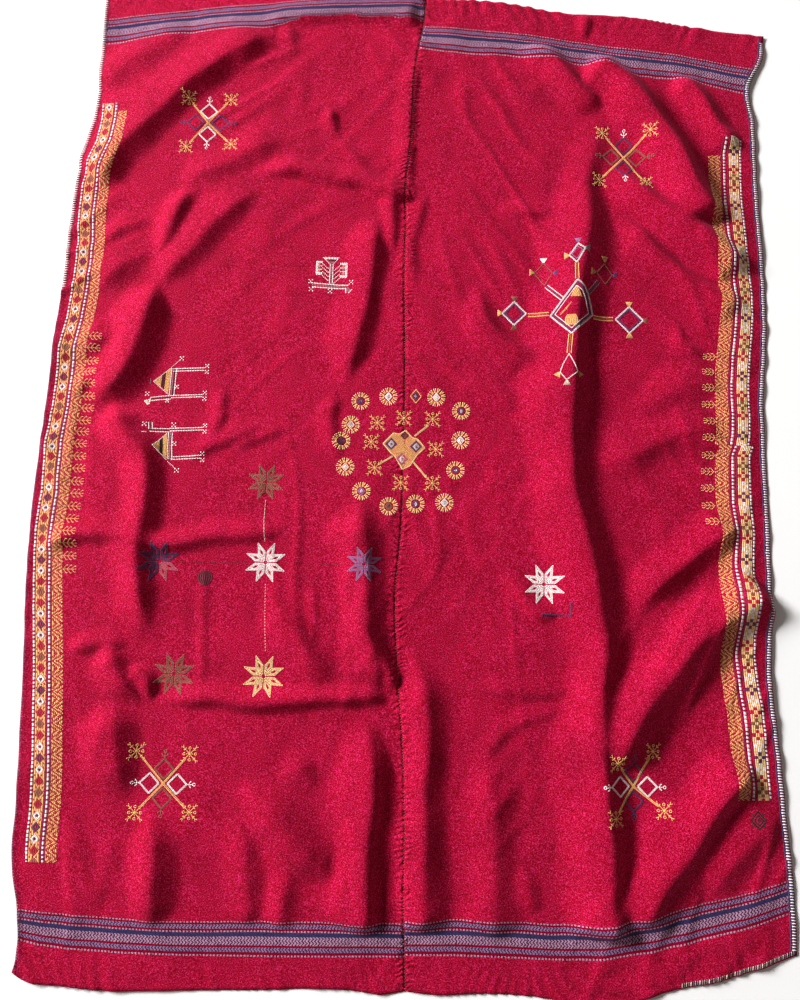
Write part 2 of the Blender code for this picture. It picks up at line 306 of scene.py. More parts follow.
FOLDS = (
    Fold("far_left_corner", 0.018, 0.07, 0.034, 0.05, 0.03,
         ((-0.27, 0.81), (-0.38, 0.745), (-0.47, 0.66), (-0.545, 0.58), (-0.62, 0.46))),
    Fold("over_the_far_band", 0.01, 0.05, 0.02, 0.02, 0.06,
         ((0.0, 0.838), (-0.09, 0.846), (-0.185, 0.846), (-0.265, 0.832), (-0.33, 0.8))),
    Fold("corner_echo_high", 0.008, 0.04, 0.03, 0.04, 0.04,
         ((-0.26, 0.575), (-0.33, 0.545), (-0.4, 0.5), (-0.455, 0.455))),
    Fold("corner_echo_left", 0.009, 0.035, 0.028, 0.04, 0.04,
         ((-0.41, 0.475), (-0.45, 0.42), (-0.49, 0.345))),
    Fold("corner_echo_low", 0.011, 0.05, 0.034, 0.05, 0.04,
         ((-0.3, 0.475), (-0.4, 0.375), (-0.485, 0.255))),
    Fold("left_lap_high", 0.021, 0.055, 0.034, 0.05, 0.03,
         ((-0.486, 0.285), (-0.5, 0.17), (-0.536, 0.085), (-0.585, 0.04))),
    Fold("left_lap_low", 0.015, 0.04, 0.03, 0.03, 0.05,
         ((-0.545, 0.045), (-0.52, -0.01), (-0.486, -0.055), (-0.472, -0.14), (-0.484, -0.23),
          (-0.46, -0.32), (-0.442, -0.4))),
    Fold("left_border_high", 0.008, 0.04, 0.03, 0.05, 0.04,
         ((-0.49, 0.35), (-0.55, 0.305), (-0.605, 0.25))),
    Fold("left_border_low", 0.008, 0.04, 0.03, 0.05, 0.04, ((-0.52, 0.2), (-0.58, 0.155), (-0.64, 0.115))),
    Fold("left_hook", 0.014, 0.04, 0.022, 0.03, 0.04, ((-0.52, -0.385), (-0.485, -0.445), (-0.445, -0.5))),
    Fold("left_blister", 0.014, 0.06, 0.038, 0.04, 0.05, ((-0.5, -0.48), (-0.487, -0.575), (-0.47, -0.67))),
    Fold("left_hem_drop", 0.016, 0.045, 0.038, 0.05, 0.03,
         ((-0.42, -0.66), (-0.407, -0.75), (-0.403, -0.86))),
    Fold("storage_crease_upper", 0.01, 0.026, 0.018, 0.05, 0.03,
         ((-0.2, -0.183), (-0.335, -0.205), (-0.46, -0.222), (-0.58, -0.205), (-0.65, -0.235))),
    Fold("storage_crease_lower", 0.013, 0.026, 0.018, 0.03, 0.05,
         ((-0.02, -0.47), (-0.145, -0.48), (-0.23, -0.493), (-0.35, -0.482), (-0.44, -0.49))),
    Fold("beside_seam_far", 0.013, 0.045, 0.028, 0.05, 0.05,
         ((-0.072, 0.435), (-0.083, 0.303), (-0.106, 0.18), (-0.122, 0.08))),
    Fold("beside_seam_mid", 0.015, 0.045, 0.033, 0.05, 0.03,
         ((-0.082, -0.11), (-0.073, -0.235), (-0.058, -0.375), (-0.047, -0.47))),
    Fold("beside_seam_near", 0.019, 0.055, 0.032, 0.04, 0.02,
         ((-0.053, -0.51), (-0.049, -0.645), (-0.048, -0.86))),
    Fold("slant_to_seam", 0.01, 0.045, 0.028, 0.06, 0.05,
         ((-0.245, -0.275), (-0.195, -0.365), (-0.105, -0.46))),
    Fold("slant_near_left", 0.015, 0.055, 0.045, 0.06, 0.05,
         ((-0.27, -0.61), (-0.2, -0.685), (-0.105, -0.77))),
    Fold("hem_ridge_outer", 0.009, 0.04, 0.035, 0.06, 0.02,
         ((-0.275, -0.64), (-0.258, -0.735), (-0.25, -0.86))),
    Fold("hem_ridge_inner", 0.009, 0.035, 0.03, 0.05, 0.02,
         ((-0.18, -0.72), (-0.188, -0.79), (-0.195, -0.86))),
    Fold("far_left_soft", 0.008, 0.045, 0.05, 0.05, 0.03,
         ((-0.44, 0.815), (-0.535, 0.755), (-0.62, 0.665))),
    Fold("past_the_seam", 0.016, 0.038, 0.04, 0.05, 0.02,
         ((0.0, -0.375), (0.033, -0.445), (0.048, -0.53), (0.046, -0.64), (0.044, -0.86))),
    Fold("long_fold", 0.024, 0.065, 0.046, 0.08, 0.02,
         ((0.366, 0.68), (0.338, 0.573), (0.325, 0.49), (0.321, 0.386), (0.305, 0.245), (0.288, 0.03),
          (0.298, -0.098), (0.34, -0.312), (0.35, -0.398), (0.341, -0.52), (0.351, -0.665), (0.362, -0.86))),
    Fold("far_right_thin", 0.013, 0.035, 0.022, 0.04, 0.03,
         ((0.18, 0.793), (0.257, 0.763), (0.293, 0.73), (0.328, 0.686), (0.365, 0.659))),
    Fold("far_right_great", 0.027, 0.06, 0.036, 0.03, 0.03,
         ((0.334, 0.776), (0.388, 0.729), (0.449, 0.646), (0.494, 0.577), (0.53, 0.495), (0.575, 0.42))),
    Fold("far_right_outer", 0.017, 0.036, 0.023, 0.03, 0.03,
         ((0.495, 0.745), (0.549, 0.676), (0.588, 0.619), (0.625, 0.57))),
    Fold("right_slant_high", 0.02, 0.055, 0.03, 0.04, 0.03,
         ((0.376, 0.546), (0.399, 0.513), (0.48, 0.447), (0.562, 0.379), (0.632, 0.33))),
    Fold("right_slant_low", 0.013, 0.045, 0.026, 0.04, 0.03,
         ((0.367, 0.428), (0.419, 0.402), (0.478, 0.345), (0.562, 0.285), (0.632, 0.25))),
    Fold("right_soft_high", 0.007, 0.045, 0.04, 0.06, 0.05, ((0.6, 0.118), (0.5, 0.091), (0.4, 0.045))),
    Fold("right_soft_low", 0.01, 0.045, 0.045, 0.06, 0.04, ((0.6, 0.035), (0.465, 0.0), (0.345, -0.06))),
    Fold("near_right_first", 0.015, 0.045, 0.032, 0.04, 0.05,
         ((0.61, -0.153), (0.523, -0.2), (0.454, -0.256), (0.407, -0.32))),
    Fold("near_right_great", 0.026, 0.05, 0.056, 0.02, 0.03,
         ((0.64, -0.268), (0.528, -0.35), (0.438, -0.447), (0.362, -0.585))),
    Fold("near_right_long", 0.022, 0.06, 0.04, 0.03, 0.03,
         ((0.6, -0.56), (0.549, -0.618), (0.466, -0.729), (0.395, -0.845))),
    Fold("near_right_last", 0.009, 0.04, 0.038, 0.03, 0.03,
         ((0.645, -0.648), (0.576, -0.706), (0.505, -0.785))),
    Fold("right_curl", 0.009, 0.04, 0.022, 0.06, 0.04,
         ((0.113, 0.295), (0.135, 0.216), (0.18, 0.172), (0.255, 0.135))),
    Fold("right_hem_ridge", 0.01, 0.04, 0.045, 0.07, 0.02,
         ((0.132, -0.54), (0.157, -0.64), (0.165, -0.73), (0.167, -0.86))),
)
print(len(FOLDS), "large folds, up to", round(max(fold.height for fold in FOLDS) * 1000), "mm high")

# %% The small creases
CREASES = (
    Fold("far_corner_fan", 0.012, 0.026, 0.013, 0.03, 0.05,
         ((0.007, 0.456), (-0.082, 0.475), (-0.154, 0.49), (-0.252, 0.506), (-0.323, 0.508))),
    Fold("fan_branch", 0.003, 0.022, 0.013, 0.03, 0.03, ((-0.149, 0.582), (-0.12, 0.534), (-0.082, 0.475))),
    Fold("beside_seam_pinch", 0.006, 0.02, 0.012, 0.03, 0.03,
         ((-0.039, 0.517), (-0.045, 0.431), (-0.034, 0.338))),
    Fold("below_far_band", 0.005, 0.022, 0.016, 0.02, 0.04,
         ((-0.263, 0.831), (-0.256, 0.788), (-0.247, 0.748))),
    Fold("ray_high", 0.006, 0.026, 0.014, 0.04, 0.04, ((-0.26, 0.012), (-0.335, -0.028), (-0.404, -0.077))),
    Fold("ray_low", 0.004, 0.02, 0.012, 0.03, 0.03, ((-0.213, 0.001), (-0.284, -0.021), (-0.334, -0.043))),
    Fold("beside_camels", 0.005, 0.024, 0.014, 0.03, 0.03,
         ((-0.348, 0.09), (-0.346, 0.009), (-0.365, -0.044))),
    Fold("beside_medallion", 0.005, 0.022, 0.013, 0.03, 0.03,
         ((-0.133, 0.08), (-0.146, 0.015), (-0.127, -0.069))),
    Fold("hook_inner", 0.011, 0.02, 0.014, 0.02, 0.03,
         ((-0.481, -0.427), (-0.444, -0.455), (-0.44, -0.504))),
    Fold("hook_to_seam", 0.01, 0.026, 0.014, 0.04, 0.02,
         ((-0.107, -0.297), (-0.064, -0.365), (-0.023, -0.432), (-0.012, -0.465))),
    Fold("low_slant", 0.007, 0.034, 0.022, 0.03, 0.04,
         ((-0.203, -0.561), (-0.173, -0.589), (-0.141, -0.643))),
    Fold("border_ray_high", 0.006, 0.026, 0.016, 0.03, 0.03,
         ((-0.5, 0.405), (-0.555, 0.375), (-0.6, 0.335))),
    Fold("border_ray_low", 0.006, 0.026, 0.016, 0.03, 0.03,
         ((-0.53, 0.115), (-0.585, 0.085), (-0.625, 0.045))),
    Fold("far_hem_pleat", 0.006, 0.016, 0.01, 0.01, 0.02, ((0.337, 0.862), (0.331, 0.835), (0.322, 0.805))),
    Fold("left_hook_tail", 0.006, 0.022, 0.016, 0.02, 0.03,
         ((-0.475, -0.393), (-0.549, -0.4), (-0.598, -0.411))),
    Fold("right_dimple", 0.006, 0.025, 0.012, 0.03, 0.03, ((0.483, 0.227), (0.501, 0.182), (0.556, 0.159))),
    Fold("right_border_nick", 0.006, 0.022, 0.014, 0.02, 0.02,
         ((0.536, 0.29), (0.575, 0.262), (0.61, 0.238))),
    Fold("right_slack_high", 0.006, 0.028, 0.016, 0.04, 0.04,
         ((0.289, 0.426), (0.216, 0.434), (0.14, 0.442))),
    Fold("right_slack_mid", 0.006, 0.028, 0.018, 0.05, 0.05,
         ((0.237, 0.03), (0.144, 0.075), (0.051, 0.12))),
    Fold("right_slack_low", 0.007, 0.028, 0.016, 0.03, 0.03,
         ((0.291, -0.313), (0.247, -0.323), (0.166, -0.264))),
    Fold("right_slack_near", 0.005, 0.026, 0.016, 0.04, 0.04,
         ((0.308, -0.452), (0.21, -0.458), (0.116, -0.455))),
    Fold("right_hem_slant", 0.005, 0.026, 0.02, 0.04, 0.02,
         ((0.205, -0.717), (0.22, -0.77), (0.231, -0.827))),
    Fold("seam_roll_far", 0.005, 0.03, 0.013, 0.04, 0.04, ((-0.014, 0.77), (-0.017, 0.62), (-0.015, 0.45))),
    Fold("seam_hook", 0.004, 0.022, 0.014, 0.03, 0.05, ((0.014, 0.479), (-0.003, 0.396), (-0.008, 0.255))),
    Fold("left_dent", 0.007, 0.02, 0.014, 0.02, 0.03, ((-0.174, 0.655), (-0.166, 0.611), (-0.145, 0.575))),
    Fold("hem_knuckle", 0.008, 0.026, 0.02, 0.02, 0.02,
         ((-0.089, -0.758), (-0.092, -0.8), (-0.094, -0.845))),
    Fold("pressed_right", 0.003, 0.016, 0.009, 0.03, 0.04, ((0.6, -0.01), (0.46, -0.006), (0.345, -0.004))),
    Fold("pressed_left", 0.0022, 0.014, 0.009, 0.04, 0.04,
         ((-0.356, -0.24), (-0.352, -0.36), (-0.345, -0.49))),
    Fold("pressed_middle", 0.0022, 0.014, 0.009, 0.04, 0.04,
         ((-0.166, -0.25), (-0.163, -0.36), (-0.16, -0.48))),
    Fold("right_round", 0.004, 0.026, 0.016, 0.04, 0.05,
         ((0.295, -0.485), (0.22, -0.5), (0.165, -0.54), (0.14, -0.6))),
    Fold("far_left_wedge", 0.009, 0.03, 0.018, 0.03, 0.04, ((-0.435, 0.47), (-0.455, 0.4), (-0.5, 0.315))),
    Fold("far_left_ripple", 0.004, 0.024, 0.014, 0.03, 0.04, ((-0.335, 0.455), (-0.4, 0.47), (-0.47, 0.5))),
    Fold("right_edge_roll", 0.005, 0.04, 0.036, 0.06, 0.06,
         ((0.612, 0.62), (0.611, 0.3), (0.606, 0.0), (0.603, -0.3), (0.61, -0.62))),
)
print(len(CREASES), "small creases")

# %% [markdown]
# ## Reading the form
#
# The same few functions give every part of the shawl its place. One finds a point on an edge, one finds
# the height of a fold at a point, and one adds the folds up. Where folds meet they merge, so the heights
# are combined as the root of the sum of their squares and never pile up.

# %% Smooth curves through places
def smooth_through(places, stations, values):
    """Values at the places, on a smooth curve through the stations' values."""
    stations = np.asarray(stations, float)
    values = np.asarray(values, float)
    slopes = np.gradient(values, stations)
    at = np.clip(np.searchsorted(stations, places, side="right") - 1, 0, len(stations) - 2)
    run = stations[at + 1] - stations[at]
    t = np.clip((places - stations[at]) / run, 0.0, 1.0)
    start = (1 + 2 * t) * (1 - t) ** 2 * values[at] + t * (1 - t) ** 2 * run * slopes[at]
    end = t * t * (3 - 2 * t) * values[at + 1] + t * t * (t - 1) * run * slopes[at + 1]
    return start + end


def edge_at(along, column):
    """How far across the left edge, the seam or the right edge lies, at a distance along."""
    stations = [section.along for section in SECTIONS]
    return smooth_through(along, stations, [getattr(section, column) for section in SECTIONS])


def edge_place(along, column):
    """The same at a single distance along."""
    return float(edge_at(np.array([along]), column)[0])


def end_at(across, end):
    """How far along an end of a loom width lies, at a distance across."""
    return smooth_through(across, *zip(*end))


print("the seam's middle is", round(edge_place(0.0, "seam") * 1000, 1), "mm across")

# %% Crest lines
CREST_STEPS = 40  # straight stretches that stand for one crest


def ease(t):
    """From 0 to 1 with a level start and finish."""
    t = np.clip(t, 0.0, 1.0)
    return t * t * (3 - 2 * t)


def crest_points(fold):
    """The fold's crest as an even run of points on a smooth curve, with the distance along it."""
    knots = np.array(fold.crest)
    chords = np.hypot(*np.diff(knots, axis=0).T)
    stations = np.concatenate(([0.0], np.cumsum(chords)))
    travelled = np.linspace(0.0, stations[-1], CREST_STEPS + 1)
    points = np.stack([smooth_through(travelled, stations, knots[:, axis]) for axis in (0, 1)], axis=1)
    return points, travelled


print("longest crest", round(max(crest_points(fold)[1][-1] for fold in FOLDS), 2), "m")

# %% Height of the folds
FOOT = 1.45  # how much further the thin cloth's gentle side runs out than the solid's
LEE_FOOT = 1.2  # and its steep side
CREST_ROUND = 0.8  # 2 for a round crest, 0 for a sharp one
TAPER = 1.5  # how much more slowly a crest of the thin cloth rises and falls
SPINDLE = 0.24  # share of its length over which a fold that ends in the field thins out
RUNS_OUT = 0.03  # a fold whose end is given this short runs on to an edge
SLIMMEST = 0.45  # breadth of a fold at its very end, as a share
FULLNESS = 1.08
UNEVEN = 0.28  # how much a crest's height and breadth vary on the way


def thinning(given, length):
    """Over what length a fold's end rises."""
    return TAPER * given if given <= RUNS_OUT else max(TAPER * given, SPINDLE * length)


def fold_height(fold, x, y, sway):
    """How high this fold lifts the cloth at the points x, y. Sway varies it from place to place."""
    points, travelled = crest_points(fold)
    reach = FOOT * (1 + UNEVEN) * max(fold.windward, fold.lee)
    low = points.min(axis=0) - reach
    high = points.max(axis=0) + reach
    near = np.flatnonzero((x > low[0]) & (x < high[0]) & (y > low[1]) & (y < high[1]))
    lift = np.zeros(x.shape)
    nx = x[near]
    ny = y[near]
    nearest = np.full(nx.shape, np.inf)
    leeward = np.zeros(nx.shape)
    place = np.zeros(nx.shape)
    for start, end, begun, done in zip(points[:-1], points[1:], travelled[:-1], travelled[1:]):
        run = end - start
        share = np.clip(((nx - start[0]) * run[0] + (ny - start[1]) * run[1]) / (run @ run), 0.0, 1.0)
        off_x = nx - start[0] - share * run[0]
        off_y = ny - start[1] - share * run[1]
        away = np.hypot(off_x, off_y)
        closer = away < nearest
        nearest = np.where(closer, away, nearest)
        leeward = np.where(closer, run[0] * off_y - run[1] * off_x, leeward)
        place = np.where(closer, begun + share * (done - begun), place)
    varied = 1 + UNEVEN * sway[near]
    length = travelled[-1]
    risen = ease(place / thinning(fold.start, length)) * ease((length - place) / thinning(fold.end, length))
    breadth = varied * (SLIMMEST + (1 - SLIMMEST) * risen)
    steep = np.clip(nearest / (LEE_FOOT * fold.lee * breadth), 0.0, 1.0)
    gentle = np.clip(nearest / (FOOT * fold.windward * breadth), 0.0, 1.0)
    lee_side = (1 - steep) ** 2 * (1 + CREST_ROUND * steep)
    side = np.where(leeward > 0, lee_side, (1 - gentle) ** 2 * (1 + 2 * gentle))
    lift[near] = FULLNESS * fold.height * risen * side * (1 + UNEVEN * sway[near])
    return lift


WARP = 0.009  # how far the folds stray from their crest lines' smooth curves


def folds_height(x, y):
    """The height of the folds and creases together."""
    places = list(zip(x, y))
    sway = np.array([noise((9.0 * a, 9.0 * b, 2.2)) for a, b in places])
    stray_x = WARP * np.array([noise((13.0 * a, 11.0 * b, 5.5)) for a, b in places])
    stray_y = WARP * np.array([noise((13.0 * a, 11.0 * b, 8.8)) for a, b in places])
    return np.sqrt(sum(fold_height(fold, x + stray_x, y + stray_y, sway) ** 2 for fold in FOLDS + CREASES))


on_long_fold = folds_height(np.array([0.30]), np.array([0.10]))[0]
print("the long fold is", round(on_long_fold * 1000, 1), "mm high halfway")

# %% [markdown]
# ## Cloth coordinates
#
# Stripes and weave follow the cloth, not the floor. So every point also has a place on the cloth:
# how far it is from the seam, and how far it is along the cloth from the near end. The lines of the two
# stripe bands are known all the way across, so the distance along is read between them. On the left
# width a long fold laps over part of the far band, so that part is left out there.

# %% Lines of the stripe bands
CLOTH_LENGTH = 1.90  # from end to end along the cloth
BAND_WIDTH = 0.057
NEAR_STRIP = 0.052  # plain hem strip beyond the band at the near end
FAR_STRIP = 0.066
NEAR_TOP = NEAR_STRIP + BAND_WIDTH  # the near band's top line, along the cloth
FAR_TOP = CLOTH_LENGTH - FAR_STRIP


# Rows of a band's lines: a distance across, where its far line and its near line lie there, and how
# much of the band isn't covered, where that is less than all of it.
LEFT_NEAR_BAND = (
    (-0.640, -0.834, -0.879), (-0.590, -0.838, -0.889), (-0.540, -0.841, -0.894),
    (-0.464, -0.844, -0.897), (-0.386, -0.846, -0.898), (-0.307, -0.845, -0.898),
    (-0.229, -0.841, -0.897), (-0.072, -0.838, -0.892), (0.018, -0.838, -0.890),
)
RIGHT_NEAR_BAND = (
    (0.005, -0.833, -0.888), (0.098, -0.828, -0.885), (0.178, -0.828, -0.886), (0.258, -0.832, -0.887),
    (0.337, -0.827, -0.885), (0.417, -0.814, -0.871), (0.497, -0.794, -0.851), (0.577, -0.775, -0.829),
    (0.657, -0.750, -0.803), (0.680, -0.744, -0.797),
)
LEFT_FAR_BAND = (
    (-0.640, 0.821, 0.765), (-0.546, 0.838, 0.781), (-0.468, 0.849, 0.795), (-0.391, 0.862, 0.803),
    (-0.313, 0.869, 0.812), (-0.275, 0.873, 0.826, 0.047), (-0.236, 0.876, 0.838, 0.038),
    (-0.158, 0.880, 0.845, 0.035), (-0.080, 0.885, 0.845, 0.040), (0.018, 0.889, 0.840, 0.049),
)
RIGHT_FAR_BAND = (
    (-0.020, 0.829, 0.779), (0.090, 0.823, 0.769), (0.169, 0.819, 0.768), (0.248, 0.811, 0.758),
    (0.326, 0.800, 0.751), (0.405, 0.791, 0.730), (0.483, 0.782, 0.727), (0.562, 0.770, 0.714),
    (0.680, 0.747, 0.690),
)
print("bands", BAND_WIDTH * 1000, "mm wide")


# %% Plan of each loom width
class LoomWidth(NamedTuple):
    """The ends, the stripe bands and the long sides of a loom width, its sides from left to right."""

    near_end: tuple
    far_end: tuple
    near_band: tuple
    far_band: tuple
    sides: tuple  # pairs of a line of the outline and how far to the right of it the side runs


LEFT = LoomWidth(
    LEFT_NEAR_END, LEFT_FAR_END, LEFT_NEAR_BAND, LEFT_FAR_BAND, (("left_edge", 0.0), ("seam", -SEAM_GAP / 2))
)
RIGHT = LoomWidth(
    RIGHT_NEAR_END, RIGHT_FAR_END, RIGHT_NEAR_BAND, RIGHT_FAR_BAND,
    (("seam", SEAM_GAP / 2), ("right_edge", 0.0)),
)


def plan_of(width, u, v):
    """Where a point of a loom width lies, u across it from the left and v along it, 0 to 1."""
    near, far = (end_at(end[0][0] * (1 - u) + end[-1][0] * u, end) for end in (width.near_end, width.far_end))
    y = near + (far - near) * v
    first, last = (edge_at(y, line) + offset for line, offset in width.sides)
    return first + (last - first) * u, y


def band_line(x, band, column):
    """How far along a stripe band's top (1) or bottom (2) line lies, or how much of it shows (3)."""
    return np.interp(x, [row[0] for row in band], [(*row, BAND_WIDTH)[column] for row in band])


def cloth_place(x, y):
    """A point's distance from the seam, and its distance along the cloth from the near end."""
    across = x - edge_at(y, "seam")
    along = np.zeros(x.shape)
    for here, width in ((across < 0, LEFT), (across >= 0, RIGHT)):
        at = x[here]
        far_foot = band_line(at, width.far_band, 2)
        knots = (
            (end_at(at, width.near_end), 0.0),
            (band_line(at, width.near_band, 2), NEAR_STRIP),
            (band_line(at, width.near_band, 1), NEAR_TOP),
            (far_foot - 0.001, FAR_TOP - BAND_WIDTH),
            (far_foot, FAR_TOP - band_line(at, width.far_band, 3)),
            (band_line(at, width.far_band, 1), FAR_TOP),
            (end_at(at, width.far_end), CLOTH_LENGTH),
        )
        found = np.zeros(at.shape)
        for (low, low_along), (high, high_along) in zip(knots[:-1], knots[1:]):
            share = (y[here] - low) / (high - low)
            found = np.where(share > 0, low_along + share * (high_along - low_along), found)
        along[here] = found
    return across, along


middles = [plan_of(width, np.array([0.5]), np.array([0.5])) for width in (LEFT, RIGHT)]
print("middles of the loom widths", [(round(float(x[0]), 3), round(float(y[0]), 3)) for x, y in middles])

# %% Small relief of the thin cloth
LIFT = 0.0022  # keeps the dips of the small relief off the floor
LOWEST = 0.0003  # the underside is nowhere nearer to the floor than this
SLACK = 0.0013  # height of the soft unevenness between the folds
HEM_WAVE = 0.0020  # height of the puckers in the hem strips
HEM_PITCH = 0.027
HEM_REACH = 0.062
WRINKLE = 0.0034  # height of the fine wrinkles
WRINKLES = (((-0.42, 0.45), 40), ((-0.30, -0.35), 97), ((0.36, 0.42), 118), ((0.40, -0.50), 58))
# Each is a place in the field and which way its wrinkles run, in degrees.
EDGE_WAVE = 0.0007  # height of the long edges' slight wave
EDGE_REACH = 0.05
EDGE_PITCH = 0.074


def wrinkles(x, y):
    """Thin sharp wrinkles that run in bundles, each part of the field in its own way."""
    height = np.zeros(x.shape)
    total = np.zeros(x.shape)
    for number, (place, way) in enumerate(WRINKLES):
        weight = np.exp(-((x - place[0]) ** 2 + (y - place[1]) ** 2) / 0.18)
        turn = math.radians(way)
        run = x * math.cos(turn) + y * math.sin(turn)
        aside = y * math.cos(turn) - x * math.sin(turn)
        wave = np.array([noise((17.0 * a, 4.2 * b, 2.7 * number)) for a, b in zip(aside, run)])
        patch = np.array([noise((4.0 * a, 3.0 * b, 5.1 + number)) for a, b in zip(aside, run)])
        height += weight * ease(1 - np.abs(wave) / 0.24) * np.maximum(0.3 + 1.7 * patch, 0)
        total += weight
    return WRINKLE * np.maximum(height / total, 0)


def inside(x, y):
    """How far inside the nearer long edge a point lies."""
    return np.minimum(x - edge_at(y, "left_edge"), edge_at(y, "right_edge") - x)


def small_relief(x, y):
    """Soft unevenness all over, puckers in the hem strips and a slight wave along the long edges."""
    slack = [
        2.6 * noise((5.5 * a, 3.6 * b, 3.9)) + noise((13.0 * a, 9.0 * b, 0.7))
        + 0.5 * noise((34.0 * a, 26.0 * b, 4.1))
        for a, b in zip(x, y)
    ]
    across, along = cloth_place(x, y)
    wander = np.array([noise((7.0 * a, 5.0 * b, 9.3)) for a, b in zip(x, y)])
    from_end = np.minimum(along, CLOTH_LENGTH - along)
    hem = ease(1 - from_end / HEM_REACH) * np.sin(2 * np.pi * (across / HEM_PITCH + 4.5 * wander))
    edge = ease(1 - inside(x, y) / EDGE_REACH) * np.sin(2 * np.pi * (y / EDGE_PITCH + 2.1 * wander))
    strength = 0.6 + 0.7 * wander
    return SLACK * np.array(slack) + wrinkles(x, y) + HEM_WAVE * hem * strength + EDGE_WAVE * edge


def cloth_height(x, y):
    """The height of the thin cloth's underside."""
    return np.maximum(LIFT + folds_height(x, y) + small_relief(x, y), LOWEST)


in_the_open = cloth_height(np.array([0.20]), np.array([-0.10]))[0]
print("between the folds the cloth is", round(in_the_open * 1000, 1), "mm off the floor")

# %% [markdown]
# ## Crimson wool
#
# The cloth is a dense wool twill with a short nap. From a step away it is a crimson field with a fine
# pinkish and dark grain, pinker where light grazes the nap. The stripe bands are woven in, so they are
# part of this material: a stepped colour ramp reads the distance below each band's top line, and two
# more masks add the dotted lines and the herringbone. Sheen stands for the nap.

# %% Colours of the wool and the bands
CRIMSON = seen(168, 0, 37)
DEEP_CRIMSON = seen(134, 0, 36)
MAUVE = seen(150, 122, 160)
ROSE_MAUVE = seen(188, 146, 170)
NAVY = seen(52, 48, 88)
PALE = seen(184, 152, 182)
RIB = seen(78, 26, 72)
PAINTED_EDGE_SHADE = seen(74, 0, 18)  # painted shade on the strip outside the borders
GRAIN_PINK = seen(240, 62, 142)


class Stripe(NamedTuple):
    """A stripe of the band: how far below the top line it starts, its colour and how it is woven."""

    start: float
    colour: tuple
    weave: str


STRIPES = (
    Stripe(0.0000, PALE, "dotted"),
    Stripe(0.0020, DEEP_CRIMSON, "plain"),
    Stripe(0.0050, MAUVE, "herringbone"),
    Stripe(0.0120, DEEP_CRIMSON, "plain"),
    Stripe(0.0155, PALE, "dotted"),
    Stripe(0.0180, NAVY, "plain"),
    Stripe(0.0250, ROSE_MAUVE, "herringbone"),
    Stripe(0.0390, DEEP_CRIMSON, "plain"),
    Stripe(0.0425, MAUVE, "herringbone"),
    Stripe(0.0500, DEEP_CRIMSON, "plain"),
    Stripe(0.0545, PALE, "dotted"),
    Stripe(BAND_WIDTH, CRIMSON, "none"),
)
WEAVE_MASKS = {
    "plain": (0.0, 0.0, 1.0, 1.0),
    "dotted": (1.0, 0.0, 1.0, 1.0),
    "herringbone": (0.0, 1.0, 1.0, 1.0),
    "none": (0.0, 0.0, 0.0, 1.0),
}
print(len(STRIPES), "stripes in a band", BAND_WIDTH * 1000, "mm wide")


# %% The wool material
BAND_MARGIN = 0.004  # plain cloth that the colour ramp covers above and below the band
DOT_PITCH = 0.0056
RIB_PITCH = 0.0054
RIB_TURN = 0.0035  # after this far along, the herringbone's ribs slant the other way
YARN_SHIFT = 0.0060  # how far uneven yarn moves both
EDGE_SHADE_FROM = 0.013  # the painted edge shade starts this far inside the edge
EDGE_SHADE_FULL = 0.007
SEAM_PULL = 0.020  # how far from the seam its pulls show


def stepped_ramp(tree, place, steps):
    """A colour ramp that changes at once. Steps are pairs of a distance below the top line and a colour."""
    span = BAND_WIDTH + 2 * BAND_MARGIN
    ramp = add_node(tree, "ShaderNodeValToRGB", {"Fac": place})
    ramp.color_ramp.interpolation = "CONSTANT"
    elements = ramp.color_ramp.elements
    elements[0].color = steps[-1][1]
    elements.remove(elements[1])
    for distance, colour in steps:
        elements.new((distance + BAND_MARGIN) / span).color = colour
    return ramp.outputs["Color"]


def alternate(tree, value, pitch):
    """1 and 0 by turns, each for half of the pitch."""
    share = calculate(tree, "FRACT", calculate(tree, "DIVIDE", value, pitch))
    return calculate(tree, "GREATER_THAN", share, 0.5)


